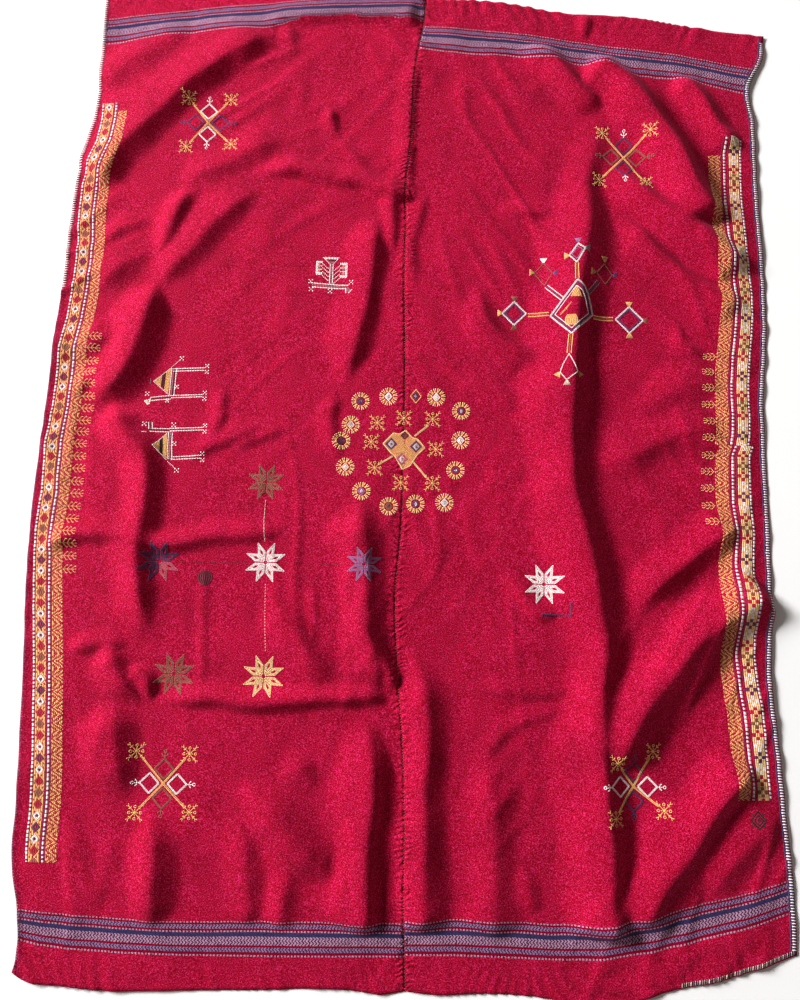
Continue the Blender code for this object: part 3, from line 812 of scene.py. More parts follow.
def crimson_wool(name):
    """Napped wool with its woven stripe bands, placed by the cloth's own coordinates."""
    material, tree, shader = new_material(
        name, Roughness=0.9, Sheen_Weight=0.16, Sheen_Roughness=0.4, Sheen_Tint=seen(255, 90, 150),
        Specular_IOR_Level=0.08,
    )
    cloth = add_node(tree, "ShaderNodeUVMap", uv_map="cloth").outputs["UV"]
    parts = add_node(tree, "ShaderNodeSeparateXYZ", {"Vector": cloth})
    across = parts.outputs["X"]
    along = parts.outputs["Y"]
    at_far_end = calculate(tree, "GREATER_THAN", along, 1.0)
    top = calculate(tree, "MULTIPLY_ADD", at_far_end, FAR_TOP - NEAR_TOP, NEAR_TOP)
    below = calculate(tree, "SUBTRACT", top, along)
    place = spread(tree, below, -BAND_MARGIN, BAND_WIDTH + BAND_MARGIN)
    stripe = stepped_ramp(tree, place, [(step.start, step.colour) for step in STRIPES])
    masks = stepped_ramp(tree, place, [(step.start, WEAVE_MASKS[step.weave]) for step in STRIPES])
    mask = add_node(tree, "ShaderNodeSeparateColor", {"Color": masks})

    # The nap's grain: dark and pinkish specks a millimetre or two across.
    object_place = add_node(tree, "ShaderNodeTexCoord").outputs["Object"]
    grain = grain_of(tree, object_place, 520.0, 2.0, 0.65)

    # Dotted lines alternate with the crimson ground, and the herringbone turns again and again. The grain
    # shifts both a little, as uneven yarn does.
    shifted = calculate(tree, "MULTIPLY_ADD", grain, YARN_SHIFT, across)
    dotted = calculate(tree, "MULTIPLY", alternate(tree, shifted, DOT_PITCH), mask.outputs["Red"])
    slant = calculate(tree, "ADD", shifted, calculate(tree, "PINGPONG", below, RIB_TURN))
    ribbed = calculate(tree, "MULTIPLY", alternate(tree, slant, RIB_PITCH), mask.outputs["Green"])
    banded = blend_colour(tree, "MIX", dotted, stripe, DEEP_CRIMSON)
    banded = blend_colour(tree, "MIX", ribbed, banded, RIB)

    # Broad soft blotches, and the fine ribs of the weave.
    blotch = grain_of(tree, object_place, 17.0, 3.0)
    warp_map = add_node(tree, "ShaderNodeMapping", {"Vector": cloth, "Scale": (520.0, 46.0, 1.0)})
    warp = grain_of(tree, warp_map.outputs["Vector"], 1.0)
    ground = blend_colour(tree, "MIX", mask.outputs["Blue"], CRIMSON, banded)

    # Painted shade on the strip along each edge, and then the grain's dark and pinkish specks.
    from_edge = add_node(tree, "ShaderNodeAttribute", attribute_name="from_edge").outputs["Fac"]
    edge_shade_and_wear = spread(tree, from_edge, EDGE_SHADE_FROM, EDGE_SHADE_FULL, 0.0, 0.48)
    ground = blend_colour(tree, "MIX", edge_shade_and_wear, ground, PAINTED_EDGE_SHADE)
    dark = blend_colour(tree, "MIX", spread(tree, grain, 0.34, 0.54, 0.36, 1.05), (0, 0, 0, 1), (1, 1, 1, 1))
    speckled = blend_colour(tree, "MULTIPLY", 1.0, ground, dark)
    plain_share = calculate(tree, "SUBTRACT", 1.0, mask.outputs["Blue"])
    pink = calculate(tree, "MULTIPLY", spread(tree, grain, 0.53, 0.70, 0.0, 0.66), plain_share)
    speckled = blend_colour(tree, "MIX", pink, speckled, GRAIN_PINK)
    tone = calculate(tree, "MULTIPLY_ADD", blotch, 0.5, 0.76)
    tone = calculate(tree, "MULTIPLY", tone, calculate(tree, "MULTIPLY_ADD", warp, 0.34, 0.83))
    toned = add_node(tree, "ShaderNodeHueSaturation", {"Color": speckled, "Value": tone}).outputs["Color"]
    tree.links.new(toned, shader.inputs["Base Color"])

    # Bump: the nap all over, and small pulls where the centre seam draws the cloth in.
    by_seam = spread(tree, calculate(tree, "ABSOLUTE", across), SEAM_PULL, 0.0)
    wobble = calculate(tree, "MULTIPLY_ADD", blotch, 40.0, calculate(tree, "MULTIPLY", along, 520.0))
    pulls = calculate(tree, "MULTIPLY", calculate(tree, "SINE", wobble), by_seam)
    surface = calculate(tree, "MULTIPLY_ADD", pulls, 3.4, calculate(tree, "MULTIPLY_ADD", warp, 0.5, grain))
    bump = add_node(tree, "ShaderNodeBump", {"Height": surface, "Strength": 0.55, "Distance": 0.0007})
    tree.links.new(bump.outputs["Normal"], shader.inputs["Normal"])
    return material


wool_left = crimson_wool("crimson_wool_left")
wool_right = crimson_wool("crimson_wool_right")
print("wool materials", wool_left.name, wool_right.name)

# %% [markdown]
# ## The two loom widths
#
# Each loom width is a grid of small squares bent to its plan and its folds, with a Solidify modifier for
# the thickness of the wool. Only the upper side shows, but a real thickness makes the edges catch the
# light. The cloth coordinates are stored as the UV map that the wool's pattern reads, and the distance
# from the nearer long edge as an attribute.

# %% Weave the loom widths
CLOTH = 0.0014  # thickness of the wool
COLUMNS = 112
ROWS = 330


def loom_width(name, width, material, solid):
    """One loom width of thin cloth, laid on the form of its packed solid."""
    bm = bmesh.new()
    bmesh.ops.create_grid(bm, x_segments=COLUMNS, y_segments=ROWS, size=0.5)
    flat = np.array([vertex.co for vertex in bm.verts])
    x, y = plan_of(width, flat[:, 0] + 0.5, flat[:, 1] + 0.5)
    for vertex, place in zip(bm.verts, zip(x, y, cloth_height(x, y))):
        vertex.co = place
    bm.verts.index_update()
    across, along = cloth_place(x, y)
    from_edge = bm.verts.layers.float.new("from_edge")
    for vertex, distance in zip(bm.verts, inside(x, y)):
        vertex[from_edge] = distance
    uv = bm.loops.layers.uv.new("cloth")
    for face in bm.faces:
        for loop in face.loops:
            loop[uv].uv = (across[loop.vert.index], along[loop.vert.index])
    mesh = mesh_of(bm, name, material)
    mesh.shade_smooth()
    piece = place_in_scene(name, mesh)
    thickness = piece.modifiers.new("thickness", "SOLIDIFY")
    thickness.thickness = CLOTH
    thickness.offset = 1.0
    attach(piece, "root")
    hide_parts(solid)
    print(name, len(mesh.polygons), "squares")
    return piece


cloth_left = loom_width("cloth_left", LEFT, wool_left, "panel_left")
cloth_right = loom_width("cloth_right", RIGHT, wool_right, "panel_right")
bpy.context.view_layer.update()

# %% [markdown]
# ## Stitches
#
# The embroidery could be painted on the wool, but then it would lie flat in any light. Here it is real
# thread: tens of thousands of small stitches, each a low ridge of thread with its ends going down into
# the cloth. One stitch is modelled from a cube whose top edges are drawn in. Geometry Nodes sets a copy
# on every point of a list, turned along its stitch and scaled to its length and width.

# %% One stitch of thread
RIDGE_LENGTH = 0.72  # how much of a stitch's length its top runs
THREADS = {
    "gold": seen(248, 202, 122),
    "pale gold": seen(250, 226, 162),
    "dull gold": seen(190, 140, 78),
    "white": seen(253, 251, 247),
    "cream": seen(232, 214, 190),
    "navy": seen(58, 46, 92),
    "violet": seen(92, 52, 112),
    "lilac": seen(150, 112, 160),
    "brown": seen(140, 98, 74),
    "olive": seen(122, 96, 56),
    "red": seen(176, 8, 44),
    "dark red": seen(104, 0, 24),
    "purple": seen(112, 30, 84),
    "black": seen(10, 5, 10),
    "grey": seen(132, 128, 134),
    "peach": seen(238, 140, 110),
    "rose": seen(188, 96, 110),
    "dark": seen(58, 8, 30),
}

bm = bmesh.new()
bmesh.ops.create_cube(bm, size=1.0)
bmesh.ops.translate(bm, verts=bm.verts, vec=(0, 0, 0.5))
for side in (-1, 1):
    top = [vertex for vertex in bm.verts if vertex.co.z > 0.5 and vertex.co.x * side > 0]
    bmesh.ops.pointmerge(bm, verts=top, merge_co=(side * RIDGE_LENGTH / 2, 0, 1.0))
bmesh.ops.recalc_face_normals(bm, faces=bm.faces)
stitch_mesh = mesh_of(bm, "stitch")
stitch_mesh.shade_smooth()
stitch = place_in_scene("stitch", stitch_mesh)
print("one stitch", len(stitch_mesh.polygons), "faces")

# %% The thread material
thread_material, tree, shader = new_material(
    "embroidery_thread", Roughness=0.62, Sheen_Weight=0.12, Sheen_Roughness=0.5, Specular_IOR_Level=0.3
)
dye = add_node(tree, "ShaderNodeAttribute", attribute_name="thread_colour").outputs["Color"]
object_place = add_node(tree, "ShaderNodeTexCoord").outputs["Object"]
twist = grain_of(tree, object_place, 900.0)
# The thread's wear: a tone that varies at random with the twist.
edge_shade_and_wear = calculate(tree, "MULTIPLY_ADD", twist, 0.5, 0.76)
worn_dye = add_node(tree, "ShaderNodeHueSaturation", {"Color": dye, "Value": edge_shade_and_wear}).outputs["Color"]
tree.links.new(worn_dye, shader.inputs["Base Color"])
bump = add_node(tree, "ShaderNodeBump", {"Height": twist, "Strength": 0.4, "Distance": 0.0003})
tree.links.new(bump.outputs["Normal"], shader.inputs["Normal"])
stitch_mesh.materials.append(thread_material)
print(len(THREADS), "colours of thread")

# %% Copies of the stitch on points
sewing = bpy.data.node_groups.new("sewing", "GeometryNodeTree")
sewing.interface.new_socket("Geometry", in_out="INPUT", socket_type="NodeSocketGeometry")
sewing.interface.new_socket("Geometry", in_out="OUTPUT", socket_type="NodeSocketGeometry")
given = add_node(sewing, "NodeGroupInput").outputs["Geometry"]
copied = add_node(sewing, "GeometryNodeObjectInfo", {"Object": stitch}).outputs["Geometry"]
turn, size = (
    add_node(sewing, "GeometryNodeInputNamedAttribute", {"Name": name}, data_type="FLOAT_VECTOR").outputs[0]
    for name in ("turn", "size")
)
turned = add_node(sewing, "FunctionNodeEulerToRotation", {"Euler": turn}).outputs["Rotation"]
placed = add_node(
    sewing, "GeometryNodeInstanceOnPoints",
    {"Points": given, "Instance": copied, "Rotation": turned, "Scale": size},
).outputs["Instances"]
real = add_node(sewing, "GeometryNodeRealizeInstances", {"Geometry": placed}).outputs["Geometry"]
add_node(sewing, "NodeGroupOutput", {"Geometry": real})
print("sewing nodes", len(sewing.nodes))

# %% [markdown]
# ## Laying stitches on the cloth
#
# A stitch is written down flat, as two places on the plan, a width and a thread. To lay it, a ray is
# dropped at each end onto the finished cloth, which gives the height there and the way the cloth faces.
# So the needlework lies in every fold, however the folds are changed.

# %% Lay stitches on the cloth
THREAD_HEIGHT = 0.0007  # how far a thread stands up
SUNK = 0.0003  # how far its underside lies below the cloth's face
DYE_SPREAD = 0.15  # how much one stitch's shade differs from the next

depsgraph = bpy.context.evaluated_depsgraph_get()
cloth_faces = [BVHTree.FromObject(cloth, depsgraph) for cloth in (cloth_left, cloth_right)]
random.seed(7)


def on_cloth(x, y):
    """The point of the cloth's face above a place on the floor, and the way the cloth faces there."""
    seam = edge_place(y, "seam")
    for nudge in (0.0, 0.0015, -0.0015, 0.004, -0.004):
        faces = cloth_faces[0 if x + nudge < seam else 1]
        hit, facing, _, _ = faces.ray_cast(Vector((x + nudge, y, 1.0)), Vector((0, 0, -1)))
        if hit is not None:
            return hit, facing
    return None, None


def embroider(name, stitches):
    """One piece of needlework from flat stitches: start x, y, end x, y, width and thread."""
    places, turns, sizes, dyes = [], [], [], []
    for ax, ay, bx, by, width, thread in stitches:
        start, _ = on_cloth(ax, ay)
        end, _ = on_cloth(bx, by)
        middle, facing = on_cloth((ax + bx) / 2, (ay + by) / 2)
        if start is None or end is None or middle is None:
            continue
        run = end - start
        along = run.normalized()
        up = (facing - along * facing.dot(along)).normalized()
        aside = up.cross(along)
        frame_of_stitch = Matrix((along, aside, up)).transposed()
        places.append((start + end) / 2 * 0.5 + middle * 0.5 - up * SUNK)
        turns.append(frame_of_stitch.to_euler())
        sizes.append((run.length, width, THREAD_HEIGHT + SUNK))
        shade = 1 + random.uniform(-DYE_SPREAD, DYE_SPREAD)
        dyes.append([channel * shade for channel in THREADS[thread][:3]] + [1.0])
    points = bpy.data.meshes.new(name)
    points.vertices.add(len(places))
    points.vertices.foreach_set("co", np.array(places).ravel())
    for attribute, kind, field, values in (
        ("turn", "FLOAT_VECTOR", "vector", turns),
        ("size", "FLOAT_VECTOR", "vector", sizes),
        ("thread_colour", "FLOAT_COLOR", "color", dyes),
    ):
        points.attributes.new(attribute, kind, "POINT").data.foreach_set(field, np.array(values).ravel())
    holder = place_in_scene(name + "_points", points)
    holder.modifiers.new("sewing", "NODES").node_group = sewing
    graph = bpy.context.evaluated_depsgraph_get()
    sewn = holder.evaluated_get(graph)
    mesh = bpy.data.meshes.new_from_object(sewn, preserve_all_data_layers=True, depsgraph=graph)
    mesh.name = name
    bpy.data.objects.remove(holder)
    piece = place_in_scene(name, mesh)
    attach(piece, "root")
    print(name, len(places), "stitches")
    return piece


# %% [markdown]
# ## The borders
#
# Each long edge carries a border some 90 mm wide: a line of white dots, a gold band set with small
# diamonds, a second line of dots on a crimson strip, and a gold band crossed by a red zigzag, with a row
# of little gold trees growing from its inner side. They are counted work, sewn row by row across the
# border. So each row is a short list of lengths of thread, worked out from how far along the row lies.

# %% Rows of a border
ROW_STEP = 0.00165  # from one row of stitches to the next
LONGEST = 0.0034  # longest stitch in a row
PIN_PITCH = 0.0058  # between the small open dots of a gold ground
PIN_DOT = 0.0021


def sew_row(stitches, edge, inward, along, lengths, tilt=0.0):
    """One row across a border. Lengths are triples of a start and an end from the edge, and a thread."""
    for begin, end, thread in lengths:
        if end - begin < 0.0004:
            continue
        count = max(1, round((end - begin) / LONGEST))
        step = (end - begin) / count
        for number in range(count):
            first = edge + inward * (begin + number * step)
            last = edge + inward * (begin + (number + 0.93) * step)
            stitches.append((first, along, last, along + tilt, ROW_STEP * 1.08, thread))


def line_of_dots(stitches, edge, inward, along, centre, pitch, length=0.0044):
    """The stitches of one row that fall on a line of white dots."""
    thread, tilt = ("white", 0.0006) if (along / pitch) % 1.0 < 0.62 else ("purple", 0.0)
    sew_row(stitches, edge, inward, along, [(centre - length / 2, centre + length / 2, thread)], tilt)


def pin_dots(begin, end, row, thread="gold"):
    """A length of gold ground, which in every second pair of rows leaves small dots of the wool open."""
    if row % 4 > 1:
        return [(begin, end, thread)]
    lengths = []
    place = begin - (PIN_PITCH / 2 if row % 8 > 3 else 0.0)
    while place < end - 0.0005:
        stop = min(place + PIN_PITCH - PIN_DOT, end)
        lengths.append((max(place, begin), stop, thread))
        place = stop + PIN_DOT
    return lengths


print("a border has a row of stitches every", ROW_STEP * 1000, "mm")

# %% The left border
LEFT_BORDER = (-0.760, 0.639)
LEFT_SET_IN = (
    (-0.760, 17), (-0.600, 17), (-0.460, 12), (-0.310, 7), (-0.200, 3), (-0.130, 7), (-0.035, 2), (0.030, 6),
    (0.140, 5), (0.200, 11), (0.350, 13), (0.410, 7), (0.470, 6), (0.555, 16), (0.600, 11), (0.640, 6),
)  # the border isn't quite parallel to the edge: place along, and millimetres further in
LEFT_INNER_TOP = 0.621  # the inner band starts a little nearer than the outer one
DIAMOND_PITCH = 0.0188
DIAMOND_HALF = (0.0077, 0.0085)  # across and along
DIAMONDS = (
    ("red", "red"), ("brown", "olive"), ("red", "red"), ("white", "dark"), ("navy", "red"), ("white", "dark"),
)  # rim and heart
ZIGZAG_PITCH = 0.026
ZIGZAG_STEP = 0.0098  # from one line of the zigzag to the next
ZIGZAG_LINE = 0.0040  # how thick a line is
TREES_LEFT = (-0.268, 0.161)


def set_in(table, along):
    """How much further from the edge a border lies at a place along it."""
    return float(np.interp(along, [place for place, _ in table], [inset / 1000 for _, inset in table]))


def diamond_band(row, along, begin, end):
    """A row of the gold band that is set with diamonds."""
    number = math.floor(along / DIAMOND_PITCH)
    off = abs(along / DIAMOND_PITCH - number - 0.5) * DIAMOND_PITCH
    rim, heart = DIAMONDS[number % len(DIAMONDS)]
    centre = (begin + end) / 2
    half = DIAMOND_HALF[0] * (1 - off / DIAMOND_HALF[1])
    if half <= 0.0006:
        return pin_dots(begin, end, row)
    inner = max(0.0, DIAMOND_HALF[0] * (0.36 - off / DIAMOND_HALF[1]))
    outside = pin_dots(begin, centre - half - 0.0004, row) + pin_dots(centre + half + 0.0004, end, row)
    if inner < 0.0005:
        return outside + [(centre - half, centre + half, rim)]
    return outside + [(centre - half, centre - inner, rim), (centre - inner, centre + inner, heart),
                      (centre + inner, centre + half, rim)]


def zigzag_band(row, along, begin, end, pitch):
    """A row of a gold band crossed by a zigzag of red lines, cut off at the band's own edges."""
    swing = abs((along / pitch) % 1.0 - 0.5) * 2
    middle = begin + swing * (end - begin)
    lengths = []
    place = begin
    for number in range(-3, 4):
        first = max(middle + number * ZIGZAG_STEP - ZIGZAG_LINE / 2, place)
        last = min(middle + number * ZIGZAG_STEP + ZIGZAG_LINE / 2, end)
        if last > first:
            lengths += pin_dots(place, first, row)
            lengths.append((first, last, "red"))
            place = last
    return lengths + pin_dots(place, end, row)


left_outer, left_inner = [], []
rows = round((LEFT_BORDER[1] - LEFT_BORDER[0]) / ROW_STEP)
for row in range(rows):
    along = LEFT_BORDER[0] + row * ROW_STEP
    edge = edge_place(along, "left_edge") + set_in(LEFT_SET_IN, along)
    line_of_dots(left_outer, edge, 1, along, 0.0085, 0.0070)
    sew_row(left_outer, edge, 1, along, diamond_band(row, along, 0.0117, 0.0300))
    sew_row(left_inner, edge, 1, along, [(0.0312, 0.0326, "purple"), (0.0384, 0.0397, "purple")])
    line_of_dots(left_inner, edge, 1, along, 0.0355, 0.0074)
    ragged = 0.0585 + 0.0012 * (row // 2 % 2)
    if along > LEFT_INNER_TOP:
        continue
    sew_row(left_inner, edge, 1, along, zigzag_band(row, along, 0.0402, ragged, ZIGZAG_PITCH))
print(rows, "rows in the left border")


# %% Small trees along a border
TREE_LEAVES = ((0.0020, 0.0084), (0.0092, 0.0082), (0.0165, 0.0062))  # distance out, and reach


def small_tree(stitches, root, along, inward, band, girth):
    """A gold tree that grows inward from a border, with its red double trunk line through the band."""
    for side in (-0.0013, 0.0013):
        for number in range(5):
            first = root - inward * band * (1 - number / 5)
            last = first + inward * band * 0.19
            stitches.append((first, along + side, last, along + side, 0.0014, "dark red"))
    for number in range(7):
        first = root + inward * number * 0.0037
        stitches.append((first, along, first + inward * 0.0031, along, 0.0013, "gold"))
    for out, reach in TREE_LEAVES:
        for side in (-1, 1):
            bend = (root + inward * (out + 0.0030), along + side * reach * girth * 0.62)
            tip = (root + inward * (out + 0.0052), along + side * reach * girth)
            hook = (tip[0] + inward * 0.0026, tip[1] - side * 0.0008)
            stitches.append((root + inward * out, along + side * 0.0004, *bend, 0.0012, "gold"))
            stitches.append((*bend, *tip, 0.0013, "gold"))
            stitches.append((*tip, *hook, 0.0014, "pale gold"))


def row_of_trees(stitches, column, inward, root, reach, pitch, band, table, girth):
    """Trees at an even pitch along a border, each a little uneven."""
    count = round((reach[1] - reach[0]) / pitch)
    for number in range(count + 1):
        along = reach[0] + number * pitch + random.uniform(-0.0012, 0.0012)
        edge = edge_place(along, column) + inward * set_in(table, along)
        foot = edge + inward * (root + random.uniform(-0.001, 0.001))
        small_tree(stitches, foot, along, inward, band, girth)
    return count + 1


trees_left = row_of_trees(left_inner, "left_edge", 1, 0.0592, TREES_LEFT, 0.0227, 0.018, LEFT_SET_IN, 0.88)
border_left_outer = embroider("border_left_outer", left_outer)
border_left_inner = embroider("border_left_inner", left_inner)
print(trees_left, "trees on the left")

# %% The right border
RIGHT_BORDER = (-0.623, 0.599)
RIGHT_SET_IN = (
    (-0.63, -3), (-0.53, -4), (-0.48, -6), (-0.43, -2), (-0.38, 4), (-0.22, 5), (-0.17, 1), (-0.116, 6),
    (-0.03, 4), (0.05, 0), (0.11, 3), (0.165, 4), (0.224, 0), (0.281, -1), (0.341, 4), (0.465, 6), (0.6, 3),
)
CLUSTER_PITCH = 0.0188
CLUSTERS = ("navy", "white", "red", "olive", "red", "white")
RIGHT_ZIGZAG = 0.0310
TREES_RIGHT = (-0.150, 0.168)
RIGHT_INNER_TOP = 0.566  # the inner band starts a little nearer than the outer one
JOG_PLACE = -0.008  # the border was sewn in two goes, which meet here a few millimetres apart
JOG = 0.0060
JOG_REACH = 0.022


def cluster_band(row, along, begin, end):
    """A row of the gold band that is set with clusters of small squares, like dice."""
    number = math.floor(along / CLUSTER_PITCH)
    off = (along / CLUSTER_PITCH - number - 0.5) * CLUSTER_PITCH
    thread = CLUSTERS[number % len(CLUSTERS)]
    ground = "pale gold" if row % 3 else "gold"
    centre = (begin + end) / 2
    half = 0.0030
    spots = []
    for spot_across, spot_along in ((0, 0.0068), (-0.0063, 0.0008), (0.0063, 0.0008), (0, -0.0052)):
        if abs(off - spot_along) < half:
            spots.append(centre + spot_across)
    lengths = []
    place = begin
    for spot in sorted(spots):
        lengths.append((place, spot - half, ground))
        lengths.append((spot - half, spot + half, thread))
        place = spot + half
    return [*lengths, (place, end, ground)]


right_outer, right_inner = [], []
rows = round((RIGHT_BORDER[1] - RIGHT_BORDER[0]) / ROW_STEP)
for row in range(rows):
    along = RIGHT_BORDER[0] + row * ROW_STEP
    edge = edge_place(along, "right_edge") - set_in(RIGHT_SET_IN, along)
    nearness = float(ease(1 - abs(along - JOG_PLACE) / JOG_REACH))
    edge += JOG * nearness * (1 if along < JOG_PLACE else -0.4)
    line_of_dots(right_outer, edge, -1, along, 0.0275, 0.0069)
    sew_row(right_outer, edge, -1, along, cluster_band(row, along, 0.0307, 0.0500))
    sew_row(right_outer, edge, -1, along, [(0.0515, 0.0528, "purple"), (0.0634, 0.0647, "purple")])
    line_of_dots(right_outer, edge, -1, along, 0.0585, 0.0068, 0.0050)
    ragged = 0.0880 + 0.0012 * (row // 2 % 2)
    if along > RIGHT_INNER_TOP:
        continue
    sew_row(right_inner, edge, -1, along, zigzag_band(row, along, 0.0655, ragged, RIGHT_ZIGZAG))
trees_right = row_of_trees(
    right_inner, "right_edge", -1, 0.0890, TREES_RIGHT, RIGHT_ZIGZAG, 0.021, RIGHT_SET_IN, 0.78
)
border_right_outer = embroider("border_right_outer", right_outer)
border_right_inner = embroider("border_right_inner", right_inner)
print(rows, "rows and", trees_right, "trees on the right")

# %% [markdown]
# ## Patterns in the field
#
# The field is worked with separate small patterns, all traditional ones: crosses with snowflakes at
# their ends, eight-pointed stars, a medallion of rosettes, a leafy tree and two camels. Each is drawn
# with the same few sewing moves, in millimetres from its own centre. Because they were sewn by eye on
# cloth that then folded, their parts aren't quite even.


# %% Sewing moves
def square_to(direction):
    """The direction turned a quarter to the left."""
    return np.array([-direction[1], direction[0]], float)


def paces(points, stitch_length, fill):
    """The start and the run of each stitch on a line through the points. Fill is its share of a pace."""
    for start, end in zip(points[:-1], points[1:]):
        start = np.array(start, float)
        run = np.array(end, float) - start
        count = max(1, round(float(np.hypot(*run)) / stitch_length))
        for number in range(count):
            yield start + run * number / count, run * fill / count


class Pattern:
    """A pattern being sewn. Places are millimetres across and along from its centre."""

    def __init__(self, centre, ply=1.0):
        self.centre = centre
        self.ply = ply  # how thick its thread is
        self.stitches = []

    def stitch(self, start, end, thread, width=1.5):
        first, last = ([self.centre[axis] + point[axis] / 1000 for axis in (0, 1)] for point in (start, end))
        self.stitches.append((*first, *last, width * self.ply / 1000, thread))

    def line(self, points, thread, width=1.5, stitch_length=3.0, fill=0.9):
        """A line of back stitches through the points."""
        for first, run in paces(points, stitch_length, fill):
            self.stitch(first, first + run, thread, width)

    def rope(self, points, thread, width=3.0, stitch_length=2.0):
        """A line of slanted stitches in two rows, like a twisted cord."""
        for first, run in paces(points, stitch_length, 0.95):
            aside = square_to(run) / np.hypot(*run) * width / 2
            for side in (-1, 1):
                self.stitch(first + aside * side, first + aside * side * 0.2 + run, thread, 1.35)

    def loop(self, centre, half_across, half_along, thread, width=1.5, sewn=None, stitch_length=3.0):
        """A diamond outline."""
        x, y = centre
        corners = [(x, y + half_along), (x + half_across, y), (x, y - half_along), (x - half_across, y)]
        corners.append(corners[0])
        if sewn == "rope":
            self.rope(corners, thread, width)
        else:
            self.line(corners, thread, width, stitch_length)

    def filled(self, centre, half_across, half_along, thread, row=1.5):
        """A diamond filled with rows of thread."""
        x, y = centre
        count = max(1, math.ceil(half_along / row))
        for number in range(-count + 1, count):
            half = half_across * (1 - abs(number) / count)
            self.line([(x - half, y + number * row), (x + half, y + number * row)], thread, row * 1.05)

    def cross(self, centre, half, thread, width=2.3):
        """A small x of five square stitches."""
        x, y = centre
        for across, along in ((0, 0), (-1, -1), (-1, 1), (1, -1), (1, 1)):
            spot = (x + across * half * 0.72, y + along * half * 0.72)
            self.stitch((spot[0] - width / 2, spot[1]), (spot[0] + width / 2, spot[1]), thread, width)

    def fan(self, centre, direction, thread, size=10.0):
        """A small fan of stitches, widest away from the pattern it ends."""
        out = np.array(direction, float)
        aside = square_to(out)
        root = np.array(centre, float) - out * size * 0.55
        for spread in (-0.62, -0.35, -0.1, 0.12, 0.36, 0.62):
            self.stitch(root + aside * spread * 1.5, root + out * size + aside * spread * size, thread, 1.5)

    def snowflake(self, centre, radius, thread="gold"):
        """A gold snowflake: four forked arms on the diagonals and a small loop on each axis."""
        x, y = centre
        unit = radius / 16.5
        for sx in (-1, 1):
            for sy in (-1, 1):
                self.line([(x, y), (x + sx * 10.5 * unit, y + sy * 10.5 * unit)], thread, 1.5, 2.6)
                for out, first, second, width in ((10.5, 1.0, 4.4, 1.4), (7.0, -0.6, 4.2, 1.3)):
                    root = (x + sx * out * unit, y + sy * out * unit)
                    for across, along in ((first, second), (second, first)):
                        tip = (root[0] + sx * across * unit, root[1] + sy * along * unit)
                        self.line([root, tip], thread, width)
        for sx, sy in ((1, 0), (-1, 0), (0, 1), (0, -1)):
            self.line([(x, y), (x + sx * 6.5 * unit, y + sy * 6.5 * unit)], thread, 1.4)
            eye = (x + sx * 9.8 * unit, y + sy * 9.8 * unit)
            self.loop(eye, 2.6 * unit, 2.6 * unit, thread, 1.2, stitch_length=4)

    def rosette(self, centre, rim, heart, radius=17.0):
        """A round rosette: a diamond in a thick gold ring, with short forked rays."""
        x, y = centre
        for number in range(12):
            angle = math.tau * (number + 0.5) / 12
            ray = np.array([math.cos(angle), math.sin(angle)])
            aside = square_to(ray)
            for share in (0.56, 0.70):
                ring = (x, y) + ray * radius * share
                self.stitch(ring - aside * radius * 0.13, ring + aside * radius * 0.13, "gold", 2.1)
            for side in (-1, 1):
                first = (x, y) + ray * radius * 0.76 + aside * side * radius * 0.07
                last = first + ray * radius * 0.24 + aside * side * radius * 0.05
                self.stitch(first, last, "pale gold", 1.7)
        self.filled((x, y), radius * 0.46, radius * 0.48, rim)
        self.filled((x, y), radius * 0.20, radius * 0.24, heart)


print("sewing moves:", [move for move in vars(Pattern) if not move.startswith("_")])

# %% Four crosses with snowflakes
class CornerCross(NamedTuple):
    """A cross near a corner of the field, with its snowflakes' places and its threads."""

    name: str
    centre: tuple
    snowflakes: tuple
    upright: str  # thread of the two diamonds in line with the shawl
    sideways: str
    upright_finial: str
    sideways_finial: str


CORNER_CROSSES = (
    CornerCross("cross_far_left", (-0.411, 0.605), ((-39, 48), (41, 51), (-40, -51), (47, -45)),
                "white", "violet", "white", "violet"),
    CornerCross("cross_far_right", (0.396, 0.556), ((-41, 49), (46, 47), (-48, -50), (40, -53)),
                "navy", "brown", "white", "brown"),
    CornerCross("cross_near_left", (-0.404, -0.628), ((-49, 52), (42, 50), (-45, -49), (48, -45)),
                "brown", "white", "brown", "white"),
    CornerCross("cross_near_right", (0.397, -0.608), ((-29, 38), (33, 59), (-35, -50), (50, -37)),
                "navy", "white", "navy", "white"),
)
DIAMOND_OUT = 24.0  # from the cross's centre to a diamond's
DIAMOND_REACH = 16.5


def finial(pattern, tip, direction, thread):
    """What ends a diamond: a stem between two curled dots, and a small loop."""
    out = np.array(direction, float)
    aside = square_to(out)
    tip = np.array(tip, float)
    pattern.line([tip, tip + out * 9.5], thread, 1.7)
    for side in (-1, 1):
        curl = tip + out * 5.6 + aside * side * 4.4
        pattern.line([tip + out * 4.0, curl], thread, 1.7)
        pattern.stitch(curl, tip + out * 8.0 + aside * side * 4.8, thread, 2.0)
    pattern.loop(tuple(tip + out * 12.6), 2.9, 3.1, thread, 1.4, stitch_length=4)


for cross in CORNER_CROSSES:
    work = Pattern(cross.centre, 1.2)
    upright = (cross.upright, cross.upright_finial)
    sideways = (cross.sideways, cross.sideways_finial)
    for out in ((0, 1), (0, -1), (1, 0), (-1, 0)):
        thread, tip_thread = upright if out[0] == 0 else sideways
        centre, tip = ([axis * reach for axis in out] for reach in (DIAMOND_OUT, DIAMOND_OUT + DIAMOND_REACH))
        work.loop(centre, DIAMOND_REACH, DIAMOND_REACH, thread, 2.6, sewn="rope")
        finial(work, tip, out, tip_thread)
    for place in cross.snowflakes:
        reach = 1 - 12.0 / math.hypot(*place)
        work.rope([(0, 0), (place[0] * reach, place[1] * reach)], "gold", 3.2)
        work.snowflake(place, 16.5)
    embroider(cross.name, work.stitches)

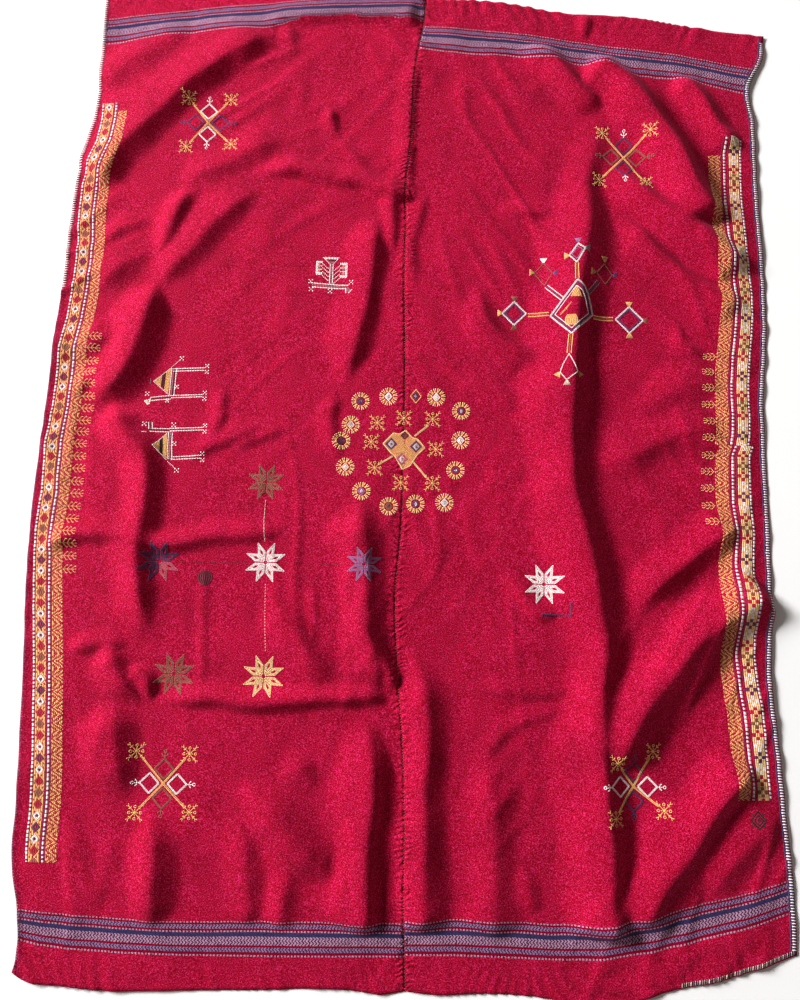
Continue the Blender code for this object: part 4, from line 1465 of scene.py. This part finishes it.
# %% The leafy tree on its bar
work = Pattern((-0.159, 0.303), 1.15)
for drop in (0.0, 2.2):
    work.line([(-16 + drop, 31 - drop), (15.5 - drop, 30.6 - drop)], "white", 2.0)
work.line([(-12, 28), (-1.5, 17.5)], "white", 1.8, 2.6, 0.62)
work.line([(12.5, 28), (4, 18)], "white", 1.8, 2.6, 0.62)
for number, (half, thread) in enumerate(((10.0, "black"), (7.0, "black"), (4.5, "grey"), (2.5, "grey"))):
    y = 26.4 - number * 2.2
    work.line([(1 - half, y), (1 + half, y)], thread, 1.9)
STEMS = ((-1.6, -21.5, "white", 2.0), (3.8, -22, "white", 2.0), (1.1, -21.5, "grey", 1.6))
for x, foot, thread, width in STEMS:
    work.line([(x, 18), (x, foot)], thread, width)
for side, inner, outer, high, low in ((-1, -16, -27.5, 23, -3.4), (1, 17, 30.5, 19.5, -9)):
    for inset in (0.0, 2.2):
        corners = [(inner, high - inset), (outer - side * inset, high - inset),
                   (outer - side * inset, low + inset), (inner, low + inset)]
        work.line(corners, "white", 2.0)
    middle = (inner + outer) / 2 + side * 0.6
    for number, thread in enumerate(("peach", "grey", "peach")):
        step = high - 5.5 - number * (high - low - 9) / 2.6
        work.filled((middle, step), 3.4, 3.0, thread)
        work.line([(inner, step - 3.8), (outer, step - 3.8)], "white", 1.7)
    for number in range(4):
        start = high - 4.5 - number * (high - low) * 0.30
        work.line([(inner, start), (side * 4.0 + 1, start - 11)], "white", 1.9, 3.4, 0.6)
GROUND_LINES = (
    ((-37, -20.5), (35, -25.4), "white", 2.2), ((-34, -28.6), (31, -32.0), "white", 2.2),
    ((-34, -24.6), (34, -28.8), "grey", 2.0),
)
for start, end, thread, width in GROUND_LINES:
    work.line([start, end], thread, width)
for place in ((-37, -17.5), (-35.5, -33.5), (39.5, -19.5), (0.5, -36.5)):
    work.cross(place, 4.2, "white")
work.line([(30, -31), (30, -41)], "white", 2.2)
work.line([(42, -33.5), (35, -41)], "white", 2.0)
work.filled((35.2, -34.5), 4.5, 4.5, "grey")
leafy_tree = embroider("leafy_tree", work.stitches)


# %% Two camels
def striped_hump(work, apex, high, low):
    """A camel's hump: a triangle of gold and black stripes in a white outline."""
    for start, end in ((apex, high), (apex, low)):
        work.line([start, end], "white", 1.7, 2.8, 0.72)
    for step in range(1, 18):
        share = step / 18
        top = (apex[0] + (high[0] - apex[0]) * share, apex[1] + (high[1] - apex[1]) * share - 1.4)
        foot = (apex[0] + (low[0] - apex[0]) * share, apex[1] + (low[1] - apex[1]) * share + 1.4)
        if top[1] - foot[1] > 1.5:
            work.line([top, foot], "black" if 0.46 < share < 0.70 else "gold", 1.7, 2.8, 0.84)


LEG_RISE = 4.0  # the legs were sewn a little askew


def legs(work, y, start, end, gap=4.8):
    """A pair of legs as two white lines, each ending in a small x."""
    for side in (-1, 1):
        work.line([(start, y + side * gap / 2), (end, y + side * gap / 2 + LEG_RISE)], "white", 1.9)
        work.cross((end + 4.0, y + LEG_RISE + side * 5.6), 3.6, "white")


work = Pattern((-0.443, 0.081), 1.2)
striped_hump(work, (-33, 0), (-1, 27.5), (-3.5, -24.5))
for x, thread in ((-2.0, "white"), (1.6, "grey"), (3.6, "black"), (6.6, "white")):
    work.line([(x + 1.0, 26), (x, -26)], thread, 1.9)
legs(work, 22.5, 2, 60)
legs(work, -28.5, 2, 59, 4.2)
for drop, thread in ((0.0, "white"), (-3.0, "black"), (-6.2, "white")):
    work.line([(2, -26.5 + drop), (-17, -28.4 + drop), (-36, -31.0 + drop)], thread, 1.8)
work.line([(-36, -31), (-38, -44)], "white", 1.8)
work.line([(-47, -37.5), (-37, -35), (-40, -45), (-47, -37.5)], "white", 1.7)
work.filled((-41.5, -39.5), 3.2, 3.6, "gold")
work.line([(-0.8, 29.5), (13.5, 43)], "white", 1.6, 3.0, 0.6)
for place, half in (((16, 45.5), 4.0), ((-42.7, -24), 3.8), ((-4.8, -36.4), 3.0), ((10.8, -9), 3.6)):
    work.cross(place, half, "white")
work.line([(-38.5, 5), (-38.5, -5)], "grey", 1.8)
camel_far = embroider("camel_far", work.stitches)

work = Pattern((-0.441, -0.041), 1.2)
striped_hump(work, (-26, 1.3), (-2, 25), (0.6, -25.5))
for x, thread in ((1.4, "white"), (4.8, "grey"), (8.4, "white")):
    work.line([(x - 1.2, 26), (x - 1.0, 0), (x + 1.6, -24)], thread, 1.9)
legs(work, 31.2, 2, 62)
legs(work, -21.5, 8, 61)
for rise, thread in ((0.0, "white"), (-2.9, "black"), (-5.8, "white")):
    work.line([(2, 33 + rise), (-34, 32.6 + rise)], thread, 1.8)
for x, thread in ((-37.4, "white"), (-34.2, "black"), (-31, "white")):
    work.line([(x, 44.5), (x + 1.5, 31)], thread, 1.8)
work.line([(2, -27.5), (17.5, -41)], "white", 1.6, 3.0, 0.6)
work.line([(-47, 24.8), (-38, 25.4)], "white", 1.7)
for place, half in (((20, -43.5), 4.2), ((-44.5, 40.5), 4.0), ((8.7, 40.5), 4.4), ((12.2, 5.5), 3.8)):
    work.cross(place, half, "white")
camel_near = embroider("camel_near", work.stitches)

# %% The large cross on the right
work = Pattern((0.291, 0.230), 1.1)
KITE = ((9, 62), (23, 51), (30, 37), (40, 0), (-2, -42), (-39, -6), (9, 62))


def drawn_in(points, share, middle=(0.0, 6.0)):
    """An outline drawn in towards its middle."""
    return [tuple(middle[axis] + (point[axis] - middle[axis]) * share for axis in (0, 1)) for point in points]


work.rope(KITE, "white", 2.8)
for share, thread, width in ((0.92, "violet", 2.2), (0.865, "navy", 1.6), (0.79, "white", 1.9)):
    work.line(drawn_in(KITE, share), thread, width)
for y in np.arange(30.0, 49.0, 1.7):
    half = (50.0 - y) * 0.5 + 1.0
    work.line([(8.0 - half, y), (7.5 + half, y)], "gold", 1.8)
for y in np.arange(-25.0, -6.0, 1.7):
    half = 12.0 * math.sqrt(max(0.05, 1 - ((y + 25.0) / 19.5 - 0.42) ** 2 * 1.9))
    work.line([(-1.5 - half, y), (-1.5 + half, y)], "gold", 1.8)
for y in np.arange(-4.0, 18.0, 1.8):
    half = 4.5 - abs(y - 5.0) * 0.2
    work.line([(-22.0 + (y + 4.0) * 0.85, y), (-22.0 + (y + 4.0) * 0.85 + half, y)], "gold", 1.6)
ARMS = (
    (((-78, 2.4), (-41, 1.6)), ((-78, -3.4), (-41, -4.4))),
    (((42, -0.6), (81, 0.4)), ((42, -6.4), (81, -6.2))),
    (((-6.5, -43), (-10.5, -81)), ((0.6, -43), (-3.4, -81))),
    (((5.6, 64), (5.8, 96)), ((11.6, 64), (11.4, 96))),
)
for pair in ARMS:
    for row in pair:
        work.line(row, "gold", 2.3, 2.4)
    middle = [tuple((pair[0][end][axis] + pair[1][end][axis]) / 2 for axis in (0, 1)) for end in (0, 1)]
    work.line(middle, "dull gold", 1.7, 2.4, 0.6)
for centre, half in (((-104, 2.5), 22.5), ((111, -3.5), 26.0)):
    work.loop(centre, half, half, "white", 2.4, sewn="rope")
    work.loop(centre, half - 4.6, half - 4.6, "violet", 2.0)
    work.loop(centre, half - 6.8, half - 6.8, "navy", 1.4)
TOP_SQUARE = ((11, 134), (24, 125), (9, 97), (-5, 111), (11, 134))
work.rope(TOP_SQUARE, "white", 2.4)
work.line(drawn_in(TOP_SQUARE, 0.66, (9.5, 116.5)), "lilac", 2.2)
LOWER_KITE = ((-7, -82), (-18, -102), (-23, -117), (-12, -132), (9, -115), (2, -99), (-7, -82))
work.line(LOWER_KITE, "white", 2.1, 2.8)
for start, end, rail in (((-18, 26), (-45, 56), "white"), ((28, 36), (52, 67), "grey")):
    run = np.array(end, float) - np.array(start, float)
    aside = square_to(run) / np.hypot(*run)
    for offset, thread, width in ((-3.2, rail, 2.1), (0.0, "navy", 2.6), (3.2, rail, 2.1)):
        work.line([start + aside * offset, end + aside * offset], thread, width)
work.line([(-50, 102), (-34, 82), (-48, 58), (-67, 83), (-50, 102)], "brown", 1.9)
work.line([(-50, 96), (-39, 82), (-49, 66), (-61, 83), (-50, 96)], "red", 1.5)
work.line([(64, 103), (80, 84), (66, 64), (48, 83), (64, 103)], "brown", 1.9)
FANS = (
    ((-131, 2.5), (-1, 0), "gold"), ((-104, 31), (0, 1), "brown"), ((-104, -26), (0, -1), "brown"),
    ((111, 28), (0, 1), "gold"), ((111, -35), (0, -1), "gold"), ((142, -4), (1, 0), "brown"),
    ((-10, 110.5), (-1, 0), "gold"), ((11, 141), (0, 1), "lilac"), ((29, 125.5), (1, 0), "grey"),
    ((-50, 108), (0, 1), "white"), ((-72, 84), (-1, 0), "gold"), ((-28, 81), (1, 0), "violet"),
    ((-27, -121), (-0.5, -0.8), "gold"), ((14, -119), (0.6, -0.7), "dull gold"),
    ((-11.5, -138), (0, -1), "cream"), ((64, 112), (0, 1), "gold"), ((86, 84), (1, 0), "violet"),
    ((41, 84), (-1, 0), "dull gold"),
)
for centre, direction, thread in FANS:
    work.fan(centre, direction, thread)
large_cross = embroider("large_cross", work.stitches)

# %% The medallion of rosettes
work = Pattern((-0.011, -0.031), 1.1)
BODY = ((-38.5, 7.7), (-20, 28), (-9, 26), (2, 33.5), (15, 20), (24, 18), (38, 2), (24, -12), (12, -32),
        (-2, -39), (-17, -14), (-23, -10))
HEARTS = (((-23, 7.4), 11.5, "navy", "white"), ((22.2, 3.7), 11.5, "navy", "white"),
          ((1.0, 23.5), 8.0, "dark", "brown"), ((-2.8, -20.3), 11.5, "rose", "white"))
for y in np.arange(-37.0, 33.0, 1.75):
    ends = []
    for (ax, ay), (bx, by) in zip(BODY, BODY[1:] + BODY[:1]):
        if (ay <= y) != (by <= y):
            ends.append(ax + (bx - ax) * (y - ay) / (by - ay))
    for (x_heart, y_heart), half, _, _ in HEARTS:
        open_half = half - abs(y - y_heart)
        if open_half > 0.5:
            ends += [x_heart - open_half, x_heart + open_half]
    ends.sort()
    for left, right in zip(ends[::2], ends[1::2]):
        if right - left > 1.0:
            work.line([(left, y), (right, y)], "gold", 1.5, 2.9, 0.82)
work.line(BODY + BODY[:1], "pale gold", 2.0)
for centre, half, rim, heart in HEARTS:
    work.filled(centre, half, half, rim)
    work.filled(centre, half * 0.55, half * 0.55, heart)
    work.filled(centre, half * 0.2, half * 0.2, "dark red")
for start, end in (((18.5, 23), (43, 44)), ((-20, -15), (-46, -32)), ((16, -23), (42, -53))):
    work.rope([start, end], "pale gold", 2.8)
for place in ((-50, 46), (-2, 56), (51, 56), (58, 0), (53, -63), (-4, -64), (-52, -38), (-60, 10)):
    work.snowflake(place, 17.0)
ROSETTES = (
    ((-82, 86), "navy", "grey"), ((-31, 96), "white", "grey"), ((57, 97), "white", "cream"),
    ((103, 73), "navy", "white"), ((103, 18), "white", "cream"), ((95, -38), "navy", "white"),
    ((76, -98), "white", "grey"), ((24, -102), "violet", "white"), ((-24, -108), "brown", "dark"),
    ((-74, -82), "lilac", "white"), ((-105, -38), "cream", "white"), ((-114, 10), "navy", "red"),
    ((-98, 41), "cream", "grey"),
)
for place, rim, heart in ROSETTES:
    work.rosette(place, rim, heart)
work.loop((19, 98), 10.0, 13.0, "gold", 1.8)
work.filled((19, 98), 6.0, 8.0, "navy")
work.filled((19, 98), 2.6, 3.2, "white")
medallion = embroider("medallion", work.stitches)


# %% Eight-pointed stars
PETAL = ((1.6, 3.0), (1.8, 19.0), (15.0, 34.5), (14.0, 14.5), (1.6, 3.0))
STARS = (
    ((-0.258, -0.101), "brown", 0.92), ((-0.251, -0.246), "white", 1.0), ((-0.439, -0.250), "navy", 1.0),
    ((-0.075, -0.245), "lilac", 0.86), ((-0.399, -0.445), "brown", 1.0), ((-0.243, -0.444), "pale gold", 1.0),
    ((0.244, -0.270), "white", 0.98),
)


def star(centre, thread, scale, faded=None):
    """An eight-pointed star of slanted petals, each with a small open heart."""
    work = Pattern(centre)
    for sx in (-1, 1):
        for sy in (-1, 1):
            for swapped in (False, True):
                turned = [((y, x) if swapped else (x, y)) for x, y in PETAL]
                petal = [(sx * x * scale, sy * y * scale) for x, y in turned]
                middle = tuple(sum(point[axis] for point in petal[:-1]) / 4 for axis in (0, 1))
                dye = faded if faded and sx > 0 and sy < 0 else thread
                for share in (1.0, 0.74, 0.48):
                    work.line(drawn_in(petal, share, middle), dye, 1.8, 2.6, 0.86)
    return work.stitches


for number, (centre, thread, scale) in enumerate(STARS):
    faded = "rose" if thread == "navy" else None
    embroider(f"star_{number + 1}", star(centre, thread, scale, faded))

# %% Guide threads, a darn, a mend and a last small diamond
work = Pattern((0.0, 0.0))
work.line([(-257, -134), (-258, -170), (-254, -210)], "cream", 1.3, 7.0, 0.94)
work.line([(-249, -284), (-246, -345), (-242, -404)], "cream", 1.6, 5.2, 0.5)
work.line([(-404, -250), (-330, -249), (-286, -247)], "dark", 1.6, 4.2, 0.5)
work.line([(-214, -246), (-160, -246), (-108, -247)], "dark", 1.6, 4.2, 0.5)
guide_threads = embroider("guide_threads", work.stitches)

work = Pattern((-0.356, -0.276))
for y in np.arange(-12.5, 13.0, 1.7):
    half = math.sqrt(max(1.0, 13.5**2 - y * y))
    work.line([(-half, y), (half, y)], "dark", 1.8, 3.6)
darn = embroider("darn", work.stitches)

work = Pattern((0.0, 0.0))
work.line([(239, -322), (262, -324), (289, -324), (289, -301)], "navy", 1.5, 3.0)
for x in np.arange(240.0, 289.0, 3.4):
    work.stitch((x, -326.5), (x + 1.0, -321.5), "navy", 1.1)
for y in np.arange(-322.0, -301.0, 3.4):
    work.stitch((286.5, y), (291.5, y + 0.8), "navy", 1.1)
mend = embroider("mend", work.stitches)

work = Pattern((0.604, -0.655), 1.5)
work.loop((0, 0), 13.0, 14.0, "black", 3.0)
work.loop((0, 0), 7.5, 8.5, "black", 2.4)
work.filled((0, 0), 3.4, 3.4, "dark")
for sx, sy in ((1, 1), (1, -1), (-1, 1), (-1, -1)):
    work.line([(sx * 7.5, sy * 8.0), (sx * 12.5, sy * 11.0)], "black", 1.7)
small_diamond = embroider("small_diamond", work.stitches)

# %% [markdown]
# ## Edges and the centre seam
#
# The long edges were overlocked by machine in black and white thread, which makes a ladder of fine
# rungs, and a navy line runs along its inner side on the right. The two loom widths are joined by hand
# with dark red thread, in small uneven stitches that pucker the cloth.


# %% Overlocked edges
def overlock(stitches, column, inward, reach, deep, pitch, threads):
    """A ladder of rungs over a long edge, from the edge inward."""
    count = round((reach[1] - reach[0]) / pitch)
    for number in range(count):
        along = reach[0] + number * pitch
        edge = edge_place(along, column)
        first = edge + inward * 0.0006
        last = edge + inward * (deep + random.uniform(-0.0008, 0.0008))
        thread = threads[number % len(threads)]
        stitches.append((first, along, last, along + 0.0004, pitch * 0.95, thread))


RIGHT_START = -0.86
NAVY_STITCHES = 420
NAVY_STEP = 0.004
NAVY_INSIDE = 0.0100  # how far from the edge the navy line runs

right_edge = []
overlock(right_edge, "right_edge", -1, (RIGHT_START, 0.815), 0.0080, 0.0023, ("white", "navy"))
for number in range(NAVY_STITCHES):
    along = RIGHT_START + number * NAVY_STEP
    across = edge_place(along, "right_edge") - NAVY_INSIDE
    right_edge.append((across, along, across, along + 0.0038, 0.0034, "navy"))
overlock_right = embroider("overlock_right", right_edge)

left_edge = []
overlock(left_edge, "left_edge", 1, (0.26, 0.880), 0.0066, 0.0023, ("white", "black"))
overlock(left_edge, "left_edge", 1, (-0.925, 0.26), 0.0026, 0.0022, ("grey", "navy"))
overlock_left = embroider("overlock_left", left_edge)

FRAY_START = 0.472  # how far across the frayed overlocking of the near end starts
FRAY_STITCHES = 104
FRAY_STEP = 0.00182

near_edge = []
for number in range(FRAY_STITCHES):
    across = FRAY_START + number * FRAY_STEP
    along = float(end_at(np.array([across]), RIGHT_NEAR_END)[0])
    thread = ("cream", "black", "grey", "navy")[number % 4]
    near_edge.append((across, along + 0.0010, across + 0.0006, along + 0.0082, 0.0016, thread))
overlock_near = embroider("overlock_near", near_edge)

# %% The hand-sewn centre seam
SEAM_STEP = 0.0046
SEWN_TO = 0.884  # how far along the seam is sewn

seam_stitches = []
for number in range(round((SEWN_TO - SEAM_NEAR) / SEAM_STEP)):
    along = SEAM_NEAR + 0.004 + number * SEAM_STEP + random.uniform(-0.0008, 0.0008)
    centre = edge_place(along, "seam")
    reach = random.uniform(0.0014, 0.0030)
    slant = random.uniform(0.0010, 0.0026)
    thread = random.choice(("red", "dark red", "dark red", "red"))
    seam_stitches.append((centre - reach, along, centre + reach, along + slant, 0.0022, thread))
centre_seam = embroider("centre_seam", seam_stitches)
bpy.data.objects.remove(stitch)

# %% [markdown]
